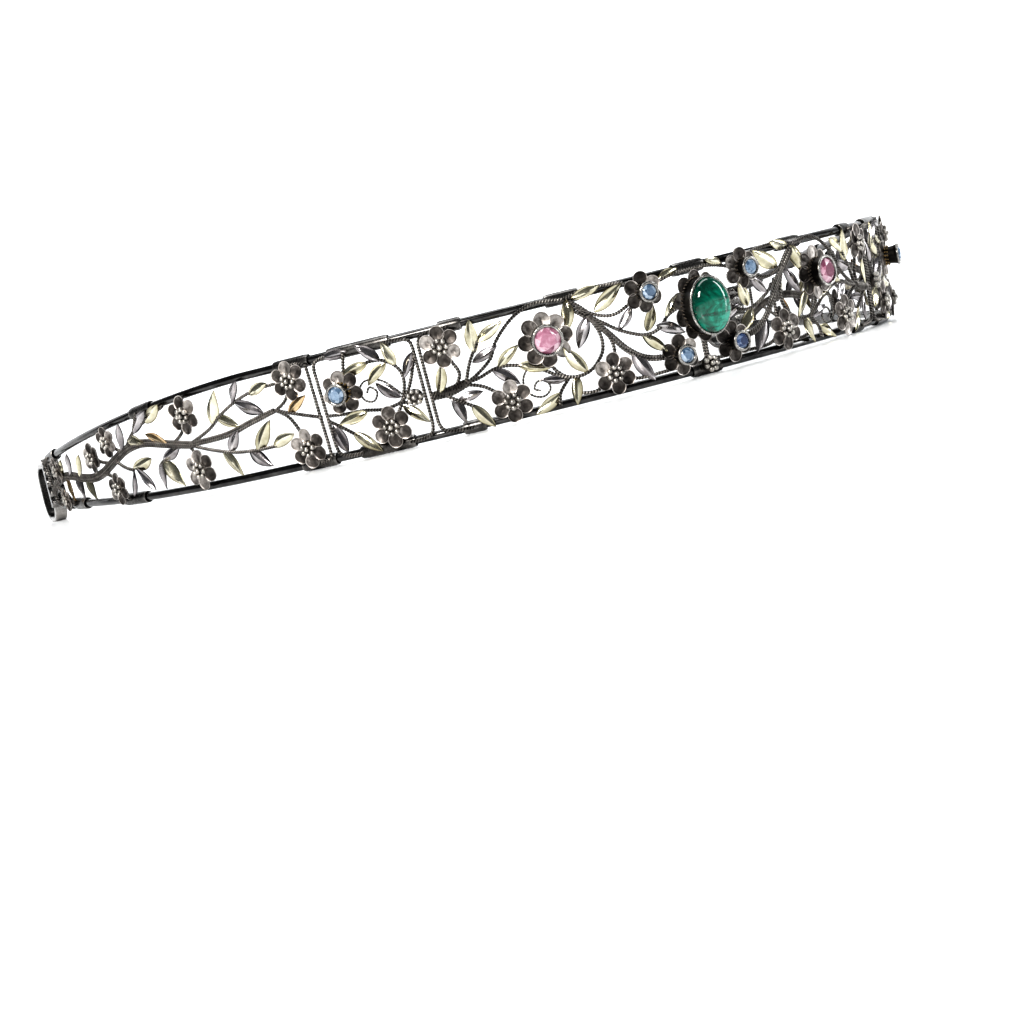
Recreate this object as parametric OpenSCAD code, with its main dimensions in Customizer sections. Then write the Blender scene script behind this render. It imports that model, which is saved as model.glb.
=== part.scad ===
// Bandeau diadem: two rails carry five openwork flower panels, with a ribbon loop at each end.
// The front faces -Y and +Z is up. All sizes are in millimetres and all angles in degrees.
// The design of one half is charted once and mirrored to the other.

/* [Band] */
// Height between the two rail centres at the front
band_height = 16.5; // [15.5:0.25:18.5]
// Height between the two rail centres at the ribbon loops
end_height = 6.8; // [6:0.1:8.5]
// Rise of the lower rail from the front to the ribbon loops
end_rise = 2.5; // [1.5:0.1:3.5]
// Share of each half at which the band begins to narrow
taper_start = 0.5; // [0.4:0.05:0.6]
// Curve of the narrowing, where 1 is straight
taper_power = 1.55; // [1.2:0.05:2]
// Outward lean of the band
lean_angle = 5; // [0:0.5:8]
// Radius of the front arc in plan
front_radius = 66.5; // [62:0.5:74]
// Length of each half of the front arc
front_arc = 67; // [60:1:76]
// Radius of the arms in plan
arm_radius = 120; // [100:1:150]

/* [Panels] */
// Half the length of the centre panel
centre_half = 44.6; // [43:0.2:50]
// Length of each side panel
side_length = 16.8; // [16:0.2:20]
// Length of each end panel
end_length = 82; // [76:1:92]
// Distance between the end wires of two neighbouring panels
panel_gap = 0.9; // [0.75:0.05:1.5]
// Distance from the last end wire to the cross plate of the loop
loop_distance = 3; // [2:0.1:6]

/* [Rails and sleeves] */
// Diameter of the two rails
rail_d = 1.4; // [1.1:0.05:1.5]
// Outside diameter of the sleeves that ride on the rails
sleeve_d = 2.2; // [2.1:0.05:2.5]
// Gap all round between rail and sleeve
sleeve_clearance = 0.12; // [0.1:0.01:0.15]

/* [Stems and leaves] */
// Diameter of a plain stem
stem_d = 0.7; // [0.6:0.02:0.76]
// Length of a leaf of size 1
leaf_length = 5.2; // [4.5:0.1:5.8]
// Greatest width of a leaf as a share of its length
leaf_width_share = 0.34; // [0.24:0.01:0.36]
// Thickness of a leaf at its ridge
leaf_ridge = 0.4; // [0.3:0.02:0.5]

/* [Flowers] */
// Diameter of a flower of size 1 over its petals
flower_d = 6.9; // [6.2:0.1:7.2]
// Diameter of the granule mound in the middle of a flower of size 1
mound_d = 3; // [2.6:0.1:3.4]
// Height of the granule mound over the petals
mound_height = 0.9; // [0.6:0.1:1.3]
// Thickness of a petal
petal_thickness = 0.5; // [0.4:0.05:0.7]
// Width of the petals that show round the emerald
emerald_border = 1.5; // [1.2:0.1:1.8]

/* [Stones] */
// Width of the emerald
emerald_width = 6.6; // [6:0.1:7.2]
// Height of the emerald
emerald_height = 8.8; // [8:0.1:9.4]
// Height of the emerald's dome over the rim of its collet
emerald_dome = 1.9; // [1.2:0.1:2.6]
// Diameter of the pink stones
pink_d = 4.2; // [3.8:0.1:4.6]
// Diameter of the four small blue stones
blue_d = 2.4; // [2.2:0.1:2.7]
// Diameter of the two outer blue stones
outer_blue_d = 2.7; // [2.4:0.1:3]
// Height of the emerald's collet over the petals
emerald_collet = 3.4; // [2.8:0.1:4]
// Height of the other collets over the petals
collet_height = 2.5; // [2:0.1:3]
// Width of a collet's rim
rim_width = 0.42; // [0.36:0.02:0.5]
// Gap all round between a stone and its collet
stone_clearance = 0.06; // [0.05:0.01:0.08]

/* [Ribbon loops] */
// Length of a loop along the band
loop_length = 11; // [10:0.5:14]
// Height of a loop
loop_height = 10.8; // [10.4:0.2:13]
// Depth of a loop, from the head outwards
loop_depth = 2.2; // [1.8:0.1:2.8]
// Radius of a loop's corners
loop_corner = 4; // [3:0.2:4.8]
// Thickness of the strip that a loop is bent from
loop_strip = 0.9; // [0.7:0.05:1.2]
// Length of rail that shows inside a loop
rail_in_loop = 4.6; // [3:0.1:5]
// Thickness of a cross plate
plate_thickness = 0.8; // [0.6:0.1:1.2]
// Depth of a cross plate, from the head outwards
plate_depth = 3; // [2.6:0.1:3.6]
// Depth of the scallops on the edge of a cross plate
scallop_depth = 0.5; // [0.3:0.05:0.8]
// Thickness of the web between the rail ends
web_thickness = 0.6; // [0.4:0.05:0.9]

/* [Node] */
// Name of the one node to draw, or all

/* [Hidden] */

// Panels as [start, length] along the lower rail from the front
CENTRE = [0, centre_half];
SIDE = [centre_half + panel_gap, side_length];
END = [SIDE[0] + side_length + panel_gap, end_length];
plate_at = END[0] + end_length + loop_distance;
rail_end = plate_at + rail_in_loop;

// Sides of the round pieces
rail_sides = 6;
stem_sides = 3;
post_sides = 5;
cut_sides = 8;
emerald_sides = 12;

// Longest steps along the rails, on the front arc and on the arms, and along a sleeve
front_step = 6.7;
arm_step = 7.9;
sleeve_step = 8.4;

// The lowest sleeves stand on z = 0, and the flat backs of the stems are soldered into the sleeves' fronts
rail_z = sleeve_d / 2;
bore_d = rail_d + 2 * sleeve_clearance;
solder = 0.08;
stem_lift = sleeve_d / 2 * cos(180 / rail_sides) - solder + stem_d / 4;
thick_lift = 0.4;
post_reach = 0.27;
post_back = stem_lift - post_reach;
petal_lift = 0.05;
petal_back = stem_lift + stem_d / 2 + petal_lift;
petal_front = petal_back + petal_thickness;
trunk = 4.2;
bough = 2.4;
twig = 1.2;
tendril = 0.4;
overlap = 0.1;
leaf_widest = 0.46;
leaf_root = 0.12;
mound_top = 0.6;
RIGHT = 1;
LEFT = -1;
LOWER = 0;
UPPER = 1;
silver = [0.3, 0.29, 0.28];

// One scallop of a cross plate's edge: share of its length, share of its depth
SCALLOP = [[0, 0], [0.25, 0.9], [0.75, 0.9]];
scallops = 5;

// Height of the emerald's middle on the band, in hundredths from the lower rail to the upper one
EMERALD_UP = 62;

// The origin lies midway between the top of the emerald and the far ends of the loops
emerald_out = petal_front + emerald_collet + stone_clearance + emerald_dome;
front_most = -emerald_out * cos(lean_angle) - band_height * EMERALD_UP / 100 * sin(lean_angle);
loop_middle = plate_at + loop_length / 2;
back_most = plan_from_front(loop_middle)[1] + loop_length / 2 * sin(plan_angle(loop_middle))
    + loop_depth / 2 * abs(cos(plan_angle(loop_middle)));
middle = (front_most + back_most) / 2;

// Charts of one half. Along runs from the panel's inner end to its outer end and up from the lower rail
// to the upper one, both in hundredths. Size and thickness are shares of the named size.

// Flowers: along, up, size
CENTRE_FLOWERS = [[36, 18, 1], [73, 16, 1], [92.5, 83, 1]];
SIDE_FLOWERS = [[38, 19, 1]];
END_FLOWERS = [[4.5, 86, 0.96], [4.5, 17, 0.97], [33, 20, 1], [33, 80, 0.97], [61, 80, 0.8], [69, 67, 0.8],
    [62, 18, 0.84], [90, 68, 0.72], [90, 12, 0.62]];

// Berry clusters: along, up, size
CENTRE_BERRIES = [[0, 5, 0.95]];
SIDE_BERRIES = [[9, 42, 0.95]];

// Sleeves: rail, from, to
CENTRE_SLEEVES = [[LOWER, 84, 92], [UPPER, 84, 92], [LOWER, -6, 6], [UPPER, -6, 6], [UPPER, 42, 54],
    [UPPER, -54, -42], [LOWER, -92, -84], [UPPER, -92, -84]];
SIDE_SLEEVES = [[LOWER, 22, 78], [UPPER, 22, 84]];
LEFT_END_SLEEVES = [[LOWER, 0, 8], [LOWER, 55, 64], [LOWER, 83, 90], [LOWER, 92, 100], [UPPER, 0, 8],
    [UPPER, 44, 51], [UPPER, 93, 100]];
RIGHT_END_SLEEVES = [[LOWER, 0, 8], [LOWER, 59, 69], [LOWER, 70, 78], [LOWER, 93, 100], [UPPER, 0, 8],
    [UPPER, 62, 70], [UPPER, 71, 79], [UPPER, 93, 100]];

// Stems: thickness, then the bends as along, up
CENTRE_STEMS = [
    [1, [88, 0], [97, 2], [100, 13], [100, 88], [97, 98], [88, 100]],
    [trunk, [100, 38], [93, 39], [87, 43]],
    [1, [88, 42], [80, 54], [74, 74], [66, 94], [58, 102], [48, 99]],
    [1, [87, 43], [76, 50], [69, 49], [60, 36], [52, 24]],
    [1, [91, 41], [89, 54], [93, 83]],
    [1, [87, 43], [83, 62], [79, 82]],
    [1, [96, 38], [86, 19]],
    [1, [88, 42], [81, 35], [73, 16]],
    [tendril, [65, 44], [68, 28], [65, 15], [60, 16], [59, 27], [64, 27]],
    [1, [57, 66], [57, 42], [53, 26], [46, 24], [39, 37], [38, 58], [41, 79]],
    [1, [52, 24], [56, 12], [57, 0]],
    [trunk, [47, 95], [41, 79]],
    [1, [41, 79], [34, 42], [36, 18]],
    [bough, [41, 79], [34, 52], [25, 27], [11, 20]],
    [twig, [41, 79], [30, 56], [22, 47], [13, 59], [6, 66]],
    [twig, [44, 88], [32, 73], [20, 88]],
    [1, [48, 99], [34, 103], [20, 88]],
    [1, [50, 8], [43, 6], [36, 18], [28, 8], [14, 8], [0, 8]],
];
CROSS_STEMS = [[bough, [0, 60], [0, 8]], [1, [-20, 88], [-9, 97], [0, 98], [9, 97], [20, 88]]];
SIDE_STEMS = [
    [1, [26, 0], [6, 2], [0, 14], [0, 88], [6, 98], [26, 100]],
    [1, [74, 0], [94, 2], [100, 14], [100, 88], [94, 98], [74, 100]],
    [twig, [100, 43], [60, 40], [42, 37], [24, 40], [9, 58], [0, 82]],
    [1, [9, 42], [24, 40]],
    [1, [48, 85], [30, 83], [17, 68], [18, 51], [38, 19]],
    [tendril, [20, 46], [36, 64], [54, 68], [60, 54], [49, 47], [45, 57], [52, 60]],
    [1, [100, 38], [76, 19]],
    [1, [66, 100], [70, 86], [76, 63]],
    [1, [38, 19], [42, 0]],
];
END_STEMS = [
    [1, [4, 0], [0.4, 3], [0.4, 97], [4, 100]],
    [1, [96, 0], [99.6, 4], [99.6, 96], [96, 100]],
    [trunk, [100, 27], [95, 46], [88, 53], [80, 46], [72, 39], [64, 48], [56, 62], [49, 64], [34, 47]],
    [1, [56, 62], [51, 80], [39, 96]],
    [1, [40, 53], [36, 62], [33, 80]],
    [1, [35, 48], [28, 58], [19, 80], [4.5, 86]],
    [bough, [35, 48], [24, 48], [10, 60]],
    [1, [10, 60], [4.5, 86]],
    [twig, [10.2, 60.5], [0, 43]],
    [1, [10, 60], [7, 48], [4.5, 17]],
    [1, [35, 48], [23, 29], [12, 26]],
    [1, [62, 52], [58, 42], [54, 37]],
    [1, [38, 51], [42, 42], [45, 36]],
    [1, [35, 48], [33, 20]],
    [1, [68, 43], [64, 34], [62, 18]],
    [1, [57, 61], [61, 80]],
    [1, [62, 51], [69, 67]],
    [1, [90, 52], [90, 68]],
    [1, [96, 43], [90, 12]],
    [1, [90, 12], [88, 0]],
    [1, [62, 18], [60, 0]],
];

// Stems of one half only, which hold its sleeves
LEFT_END_STEMS = [[1, [51, 80], [48, 100]]];
RIGHT_END_STEMS = [[1, [61, 80], [66, 100]], [1, [61, 80], [72, 100]], [1, [72, 39], [75, 0]]];

// One petal from hollow to hollow: share of the way round to the next, share of the flower's radius
PETAL_OUTLINE = [[0, 0.66], [0.27, 0.98], [0.73, 0.98]];

// Leaves: along, up, direction from outwards along the band to upwards, size
CENTRE_LEAVES = [
    [13, 96, 160, 0.7], [13, 59, 125, 0.8], [17, 53, -155, 1], [21, 50, 110, 0.9], [23, 47, -135, 0.95],
    [28, 33, -120, 1.15], [31, 58, 130, 0.85], [38, 80, 145, 1.2], [41, 78, -60, 1.05], [45, 26, 55, 1.1],
    [45, 98, 165, 0.9], [47, 97, -75, 1], [49, 24, -75, 0.9], [53, 24, 15, 0.8], [56, 12, -30, 1],
    [68, 48, -160, 1],
    [75, 50, 145, 0.95], [77, 49, -140, 0.95], [80, 79, 150, 1], [83, 61, 160, 0.9], [81.5, 69.5, 95, 1.05],
    [87, 21, -125, 1], [91, 29, 175, 0.8], [93, 32, -105, 0.9], [97, 39, 110, 0.95],
];
SIDE_LEAVES = [
    [2, 84, -60, 0.85], [20, 76, 75, 0.85], [23, 36, -135, 1], [23, 45, 40, 0.9], [29, 80, -40, 0.9],
    [34, 84, 45, 0.9], [46, 85, -15, 1], [59, 39, -10, 1], [78, 21, -135, 1.1], [88, 99, 180, 0.9],
    [96, 34, -105, 1],
];
END_LEAVES = [
    [7, 55, 150, 0.9], [13, 26, 165, 1], [15, 81, 165, 0.9], [17, 25, 130, 1.2], [19, 28, -140, 1],
    [19.4, 78, -155, 1.2],
    [20, 77, 125, 0.85], [24, 31, 135, 0.9], [25, 68, -155, 1], [26, 33, -125, 1.1], [26.5, 61.5, 115, 1.2],
    [38, 48, -20, 1], [41, 56, 25, 1], [44, 38, -130, 1.2], [46, 86, 155, 1.15], [45, 37, -85, 0.9],
    [48, 44, -10, 1.1],
    [51, 79, 150, 1.2], [54, 38, -130, 1.1], [55, 37, -70, 0.95], [54, 73, -170, 1], [57.3, 62.5, 115, 1.05],
    [76, 40, -120, 0.85], [79, 45, 125, 0.95], [81, 46, -110, 0.85], [84, 52, 115, 0.85], [87, 51, -110, 0.9],
    [88, 54.5, 100, 0.62],
];

// Set stones: along, up, diameter, petals, diameter over the petals as a share of the flower's
PINK = [57, 66, pink_d, 8, 1.3];
UPPER_BLUE = [20, 88, blue_d, 6, 0.98];
LOWER_BLUE = [11, 20, blue_d, 6, 0.98];
OUTER_BLUE = [76, 63, outer_blue_d, 7, 1.05];
emerald_petals = 10;

// Depth of a seat as a share of its stone, and its least depth
seat_share = 0.25;
seat_least = 0.3;

// A cut stone from its culet to its table: share of its depth, share of its diameter
CUT = [[0, 0.3], [0.75, 1], [0.85, 1], [1.25, 0.58]];

// The emerald from its foot to the top of its dome: share of its depth, share of its size
DOME = [[0.04, 1], [0.55, 1], [0.75, 0.87], [0.92, 0.6], [1, 0.3]];

// Plan of the band: the direction, the place and the outward normal at a distance along it
function plan_angle(s) = sign(s) * (min(abs(s), front_arc) / front_radius
    + max(abs(s) - front_arc, 0) / arm_radius) * 180 / PI;
function plan_from_front(s) = let (turn = front_arc / front_radius * 180 / PI, a = abs(plan_angle(s)))
    abs(s) < front_arc ? [sign(s) * front_radius * sin(a), front_radius * (1 - cos(a))]
    : [sign(s) * (front_radius * sin(turn) + arm_radius * (sin(a) - sin(turn))),
        front_radius * (1 - cos(turn)) + arm_radius * (cos(turn) - cos(a))];
function plan_place(s) = plan_from_front(s) - [0, middle];
function outward(s) = [sin(plan_angle(s)), -cos(plan_angle(s))];

// Narrowing of the band, and where the two rails run
function past(s) = min(max((abs(s) / rail_end - taper_start) / (1 - taper_start), 0), 1);
function height_at(s) = band_height - (band_height - end_height) * pow(past(s), taper_power);
function low_at(s) = rail_z + end_rise * past(s) * past(s);

// A place at a distance along, up the band and out from the rail centres, and the band's directions there
function spot(s, h, out) = let (p = plan_place(s), n = outward(s),
    o = out * cos(lean_angle) + h * sin(lean_angle))
    [p[0] + n[0] * o, p[1] + n[1] * o, low_at(s) + h * cos(lean_angle) - out * sin(lean_angle)];
function facing(s) = let (n = outward(s)) [n[0] * cos(lean_angle), n[1] * cos(lean_angle), -sin(lean_angle)];
function along_of(panel, share) = panel[0] + panel[1] * share / 100;
function up_of(s, share) = height_at(s) * share / 100;

function unit(v) = v / norm(v);
// Rings of corners round places, whose edges keep to the given facings
function rings(places, facings, r, sides, turn = 0) = let (last = len(places) - 1)
    [for (i = [0:last]) let (t = unit(places[min(i + 1, last)] - places[max(i - 1, 0)]),
        a = unit(cross(t, facings[i])), b = cross(a, t))
        for (k = [0:sides - 1]) let (v = 360 * k / sides + turn) places[i] + r * (cos(v) * a + sin(v) * b)];
function walls(steps, sides) = [for (i = [0:steps - 1]) for (k = [0:sides - 1])
    let (a = i * sides, j = (k + 1) % sides) [a + k, a + j, a + sides + j, a + sides + k]];

// A bar of even thickness through places, flat ended
module bar(places, facings, r, sides, turn = 0) {
    last = len(places) - 1;
    polyhedron(rings(places, facings, r, sides, turn), concat(walls(last, sides),
        [[for (k = [sides - 1:-1:0]) k]], [[for (k = [0:sides - 1]) last * sides + k]]), convexity = 6);
}

// A tube through places, flat ended
module tube(places, facings, r, bore, sides) {
    last = len(places) - 1;
    inside = len(places) * sides;
    far = last * sides;
    polyhedron(concat(rings(places, facings, r, sides), rings(places, facings, bore, sides)), concat(
        walls(last, sides), [for (q = walls(last, sides)) [for (k = [3:-1:0]) q[k] + inside]],
        [for (k = [0:sides - 1]) let (j = (k + 1) % sides) [j, k, inside + k, inside + j]],
        [for (k = [0:sides - 1]) let (j = (k + 1) % sides) [far + k, far + j, far + inside + j,
            far + inside + k]]), convexity = 6);
}

// Even steps from one place along the band to another, without the last place
function steps(from, to, step) = let (n = ceil((to - from) / step))
    [for (i = [0:n - 1]) from + (to - from) * i / n];

module rail_bar(at, which) {
    bar([for (s = at) spot(s, which * height_at(s), 0)], [for (s = at) facing(s)], rail_d / 2, rail_sides);
}

module sleeve(panel, row) {
    to = along_of(panel, row[2]);
    at = concat(steps(along_of(panel, row[1]), to, sleeve_step), [to]);
    tube([for (s = at) spot(s, row[0] * height_at(s), 0)], [for (s = at) facing(s)], sleeve_d / 2, bore_d / 2,
        rail_sides);
}

// A stem whose middle stands out further where it is thicker
module stem(panel, row) {
    turns = [for (i = [1:len(row) - 1]) [along_of(panel, row[i][0]), row[i][1]]];
    r = stem_d / 2 * sqrt(row[0]);
    out = stem_lift + thick_lift * (r - stem_d / 2);
    bar([for (q = turns) spot(q[0], up_of(q[0], q[1]), out)], [for (q = turns) facing(q[0])], r, stem_sides, 90);
}

// A folded leaf, pointed at both ends, that starts a little behind its place on the stem
module leaf(panel, row) {
    s = along_of(panel, row[0]);
    h = up_of(s, row[1]);
    long = leaf_length * row[3];
    wide = long * leaf_width_share / 2;
    function on_leaf(a, c, out) = spot(s + a * cos(row[2]) - c * sin(row[2]),
        h + a * sin(row[2]) + c * cos(row[2]), stem_lift + out);
    mid = long * leaf_widest;
    hull() polyhedron([on_leaf(-leaf_root, 0, 0), on_leaf(mid, -wide, 0), on_leaf(mid, 0, leaf_ridge),
        on_leaf(mid, wide, 0), on_leaf(long, 0, 0)],
        [[0, 2, 1], [0, 3, 2], [0, 1, 3], [4, 1, 2], [4, 2, 3], [4, 3, 1]]);
}

// Stands children on the band, facing outwards, with +Y up the band
module on_band(s, h) {
    n = facing(s);
    u = [outward(s)[0] * sin(lean_angle), outward(s)[1] * sin(lean_angle), cos(lean_angle)];
    t = cross(u, n);
    p = spot(s, h, 0);
    multmatrix([for (i = [0:2]) [t[i], u[i], n[i], p[i]]]) children();
}

// A ring of round petals, cut from one plate on an oval
module petals(count, across, up) {
    translate([0, 0, petal_back]) linear_extrude(petal_thickness) polygon([for (k = [0:count - 1])
        for (q = PETAL_OUTLINE) let (a = 90 + 360 * (k - 0.5 + q[0]) / count)
            [across / 2 * q[1] * cos(a), up / 2 * q[1] * sin(a)]]);
}

// A mound of granules on a post that reaches back to the stems
module mound(d) {
    translate([0, 0, post_back])
        cylinder(h = petal_front - post_back + mound_height, d1 = d, d2 = d * mound_top, $fn = post_sides);
}

module flower(panel, row) {
    s = along_of(panel, row[0]);
    on_band(s, up_of(s, row[1])) {
        petals(6, flower_d * row[2], flower_d * row[2]);
        mound(mound_d * row[2]);
    }
}

module berries(panel, row) {
    s = along_of(panel, row[0]);
    on_band(s, up_of(s, row[1])) mound(mound_d * row[2]);
}

// A deep tapered collet with a seat for its stone
module collet(across, up, height, sides) {
    rim = 2 * (stone_clearance + rim_width);
    top = petal_front + height;
    difference() {
        hull() {
            translate([0, 0, post_back]) scale([across, up, 1]) cylinder(h = overlap, d = 1, $fn = sides);
            translate([0, 0, top - overlap]) scale([across + rim, up + rim, 1])
                cylinder(h = overlap, d = 1, $fn = sides);
        }
        translate([0, 0, top - seat_depth(across)])
            scale([across + 2 * stone_clearance, up + 2 * stone_clearance, 1])
                cylinder(h = height, d = 1, $fn = sides);
    }
}
function seat_depth(across) = seat_share * across + seat_least;

module set_flower(panel, row) {
    s = along_of(panel, row[0]);
    on_band(s, up_of(s, row[1])) {
        petals(row[3], flower_d * row[4], flower_d * row[4]);
        collet(row[2], row[2], collet_height, cut_sides);
    }
}

// A cut stone with a table, its girdle just under the rim
module cut_stone(panel, row) {
    s = along_of(panel, row[0]);
    d = row[2];
    thin = seat_depth(d) * 0.01;
    on_band(s, up_of(s, row[1]))
        translate([0, 0, petal_front + collet_height - seat_depth(d) + stone_clearance])
            hull() for (i = [0:len(CUT) - 1])
                translate([0, 0, seat_depth(d) * CUT[i][0] - (i > 0 ? thin : 0)])
                    rotate(i == len(CUT) - 1 ? 180 / cut_sides : 0)
                        cylinder(h = thin, d = d * CUT[i][1], $fn = cut_sides);
}

module emerald_stone() {
    deep = seat_depth(emerald_width) + emerald_dome;
    on_band(0, up_of(0, EMERALD_UP))
        translate([0, 0, petal_front + emerald_collet - seat_depth(emerald_width) + stone_clearance])
            hull() for (q = DOME) scale([emerald_width * q[1], emerald_height * q[1], 1])
                cylinder(h = deep * q[0], d = 1, $fn = emerald_sides);
}

// One half of a panel's ornament
module ornament(panel, stems, leaves, flowers, clusters) {
    for (row = stems) stem(panel, row);
    for (row = leaves) leaf(panel, row);
    for (row = flowers) flower(panel, row);
    for (row = clusters) berries(panel, row);
}

module to_side(side) {
    if (side == RIGHT) children();
    else mirror([1, 0, 0]) children();
}

module centre_panel() {
    color(silver) union() {
        for (side = [LEFT, RIGHT]) to_side(side) {
            ornament(CENTRE, CENTRE_STEMS, CENTRE_LEAVES, CENTRE_FLOWERS, []);
            set_flower(CENTRE, PINK);
            set_flower(CENTRE, UPPER_BLUE);
            set_flower(CENTRE, LOWER_BLUE);
        }
        for (row = CROSS_STEMS) stem(CENTRE, row);
        for (row = CENTRE_BERRIES) berries(CENTRE, row);
        for (row = CENTRE_SLEEVES) sleeve(CENTRE, row);
        on_band(0, up_of(0, EMERALD_UP)) {
            petals(emerald_petals, emerald_width + 2 * emerald_border, emerald_height + 2 * emerald_border);
            collet(emerald_width, emerald_height, emerald_collet, emerald_sides);
        }
    }
}

module side_panel(side) {
    color(silver) to_side(side) union() {
        ornament(SIDE, SIDE_STEMS, SIDE_LEAVES, SIDE_FLOWERS, SIDE_BERRIES);
        for (row = SIDE_SLEEVES) sleeve(SIDE, row);
        set_flower(SIDE, OUTER_BLUE);
    }
}

module end_panel(side) {
    color(silver) to_side(side) union() {
        ornament(END, concat(END_STEMS, side == LEFT ? LEFT_END_STEMS : RIGHT_END_STEMS), END_LEAVES,
            END_FLOWERS, []);
        for (row = side == LEFT ? LEFT_END_SLEEVES : RIGHT_END_SLEEVES) sleeve(END, row);
    }
}

// A cross plate with a scalloped edge, the loop beyond it and the web between the rail ends
module ribbon_loop() {
    low = low_at(plate_at);
    high = low + height_at(plate_at) * cos(lean_angle);
    tall = high - low + rail_d;
    translate(plan_place(loop_middle)) rotate(plan_angle(loop_middle)) {
        difference() {
            loop_outline(0, loop_corner, loop_depth);
            loop_outline(loop_strip, loop_corner - loop_strip, 2 * loop_depth);
        }
        translate([-loop_length / 2, 0, low - rail_d / 2]) upright(plate_depth) polygon(concat(
            [[plate_thickness, 0], [plate_thickness, tall]],
            [for (k = [scallops - 1:-1:0]) for (q = SCALLOP)
                [-q[1] * scallop_depth, (k + 1 - q[0]) * tall / scallops]]));
        translate([-loop_length / 2, 0, 0]) upright(web_thickness) polygon(
            [[0, low], [rail_in_loop, low], [rail_in_loop, high], [0, high]]);
    }
}

// Stands a flat outline up across the band, half its depth to each side
module upright(depth) {
    rotate([90, 0, 0]) linear_extrude(depth, center = true) children();
}

// The outline of a loop, drawn in from its outer edge and centred on the loop
module loop_outline(inset, corner, depth) {
    x = loop_length / 2 - inset - corner;
    upright(depth) hull() for (q = [-x, x]) for (z = [inset + corner, loop_height - inset - corner])
        translate([q, z]) circle(r = corner, $fn = 8);
}

module rails() {
    color(silver) union() {
        for (which = [LOWER, UPPER]) rail_bar(concat(steps(-rail_end, -front_arc, arm_step),
            steps(-front_arc, front_arc, front_step), steps(front_arc, rail_end, arm_step), [rail_end]),
            which);
        for (side = [LEFT, RIGHT]) to_side(side) ribbon_loop();
    }
}

module emerald() { color([0.05, 0.5, 0.32]) emerald_stone(); }
module pink_stone(side) { color([0.9, 0.5, 0.66]) to_side(side) cut_stone(CENTRE, PINK); }
module upper_blue_stone(side) { color([0.5, 0.65, 0.85]) to_side(side) cut_stone(CENTRE, UPPER_BLUE); }
module lower_blue_stone(side) { color([0.45, 0.6, 0.82]) to_side(side) cut_stone(CENTRE, LOWER_BLUE); }
module outer_blue_stone(side) { color([0.45, 0.6, 0.82]) to_side(side) cut_stone(SIDE, OUTER_BLUE); }

rails();
centre_panel();
side_panel(LEFT);  // left_side_panel
side_panel(RIGHT);  // right_side_panel
end_panel(LEFT);  // left_end_panel
end_panel(RIGHT);  // right_end_panel
emerald();
pink_stone(LEFT);  // left_pink_stone
pink_stone(RIGHT);  // right_pink_stone
upper_blue_stone(LEFT);  // upper_left_blue_stone
upper_blue_stone(RIGHT);  // upper_right_blue_stone
lower_blue_stone(LEFT);  // lower_left_blue_stone
lower_blue_stone(RIGHT);  // lower_right_blue_stone
outer_blue_stone(LEFT);  // left_outer_blue_stone
outer_blue_stone(RIGHT);  // right_outer_blue_stone
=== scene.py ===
"""Looks of the bandeau diadem: stems, leaves, flowers, collets, stones, rails and loops, and their light."""

import bpy
import math
import random
import numpy as np
from mathutils import Matrix, Vector

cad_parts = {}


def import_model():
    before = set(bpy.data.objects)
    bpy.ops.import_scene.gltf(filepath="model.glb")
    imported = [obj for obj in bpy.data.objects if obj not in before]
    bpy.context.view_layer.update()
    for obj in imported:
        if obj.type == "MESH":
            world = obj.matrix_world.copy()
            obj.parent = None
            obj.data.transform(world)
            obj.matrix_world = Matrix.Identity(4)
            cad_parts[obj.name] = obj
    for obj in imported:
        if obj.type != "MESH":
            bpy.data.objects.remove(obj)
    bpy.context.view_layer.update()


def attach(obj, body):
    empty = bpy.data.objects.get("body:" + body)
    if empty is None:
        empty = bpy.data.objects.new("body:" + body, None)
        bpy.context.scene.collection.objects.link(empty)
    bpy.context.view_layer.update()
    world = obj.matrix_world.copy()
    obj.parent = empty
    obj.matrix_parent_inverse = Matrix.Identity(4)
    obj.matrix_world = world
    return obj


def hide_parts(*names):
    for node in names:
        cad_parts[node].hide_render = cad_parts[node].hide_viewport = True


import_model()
scene = bpy.context.scene

MM = 0.001
RIGHT, LEFT = 1, -1  # Which half of the band
LOWER, UPPER = 0, 1  # Which rail

# Sizes as in the part's source: lengths in millimetres, EMERALD_UP in hundredths of the band's height
BAND_HEIGHT, END_HEIGHT, END_RISE = 16.5, 6.8, 2.5
TAPER_START, TAPER_POWER, LEAN = 0.5, 1.55, math.radians(5)
FRONT_RADIUS, FRONT_ARC, ARM_RADIUS = 66.5, 67.0, 120.0
CENTRE_HALF, SIDE_LENGTH, END_LENGTH, PANEL_GAP, LOOP_DISTANCE = 44.6, 16.8, 82.0, 0.9, 3.0
RAIL_R, SLEEVE_R, SLEEVE_CLEARANCE, STEM_R, SOLDER = 0.7, 1.1, 0.12, 0.35, 0.08
FLOWER_D, PETAL_LIFT, PETAL_DEPTH, LEAF_LENGTH, LEAF_WIDTH = 6.9, 0.05, 0.5, 5.2, 0.34
EMERALD_UP, EMERALD_W, EMERALD_H, EMERALD_DOME = 62, 6.6, 8.8, 1.9
EMERALD_COLLET, EMERALD_BORDER, COLLET_HEIGHT, STONE_CLEARANCE = 3.4, 1.5, 2.5, 0.06
PINK_D, BLUE_D, OUTER_BLUE_D = 4.2, 2.4, 2.7
LOOP_LENGTH, LOOP_HEIGHT, LOOP_DEPTH, LOOP_STRIP, LOOP_CORNER = 11, 10.8, 2.2, 0.9, 4
RAIL_IN_LOOP, PLATE_THICKNESS, PLATE_DEPTH, WEB_THICKNESS = 4.6, 0.8, 3.0, 0.6
SCALLOPS, SCALLOP_DEPTH = 5, 0.5

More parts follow.
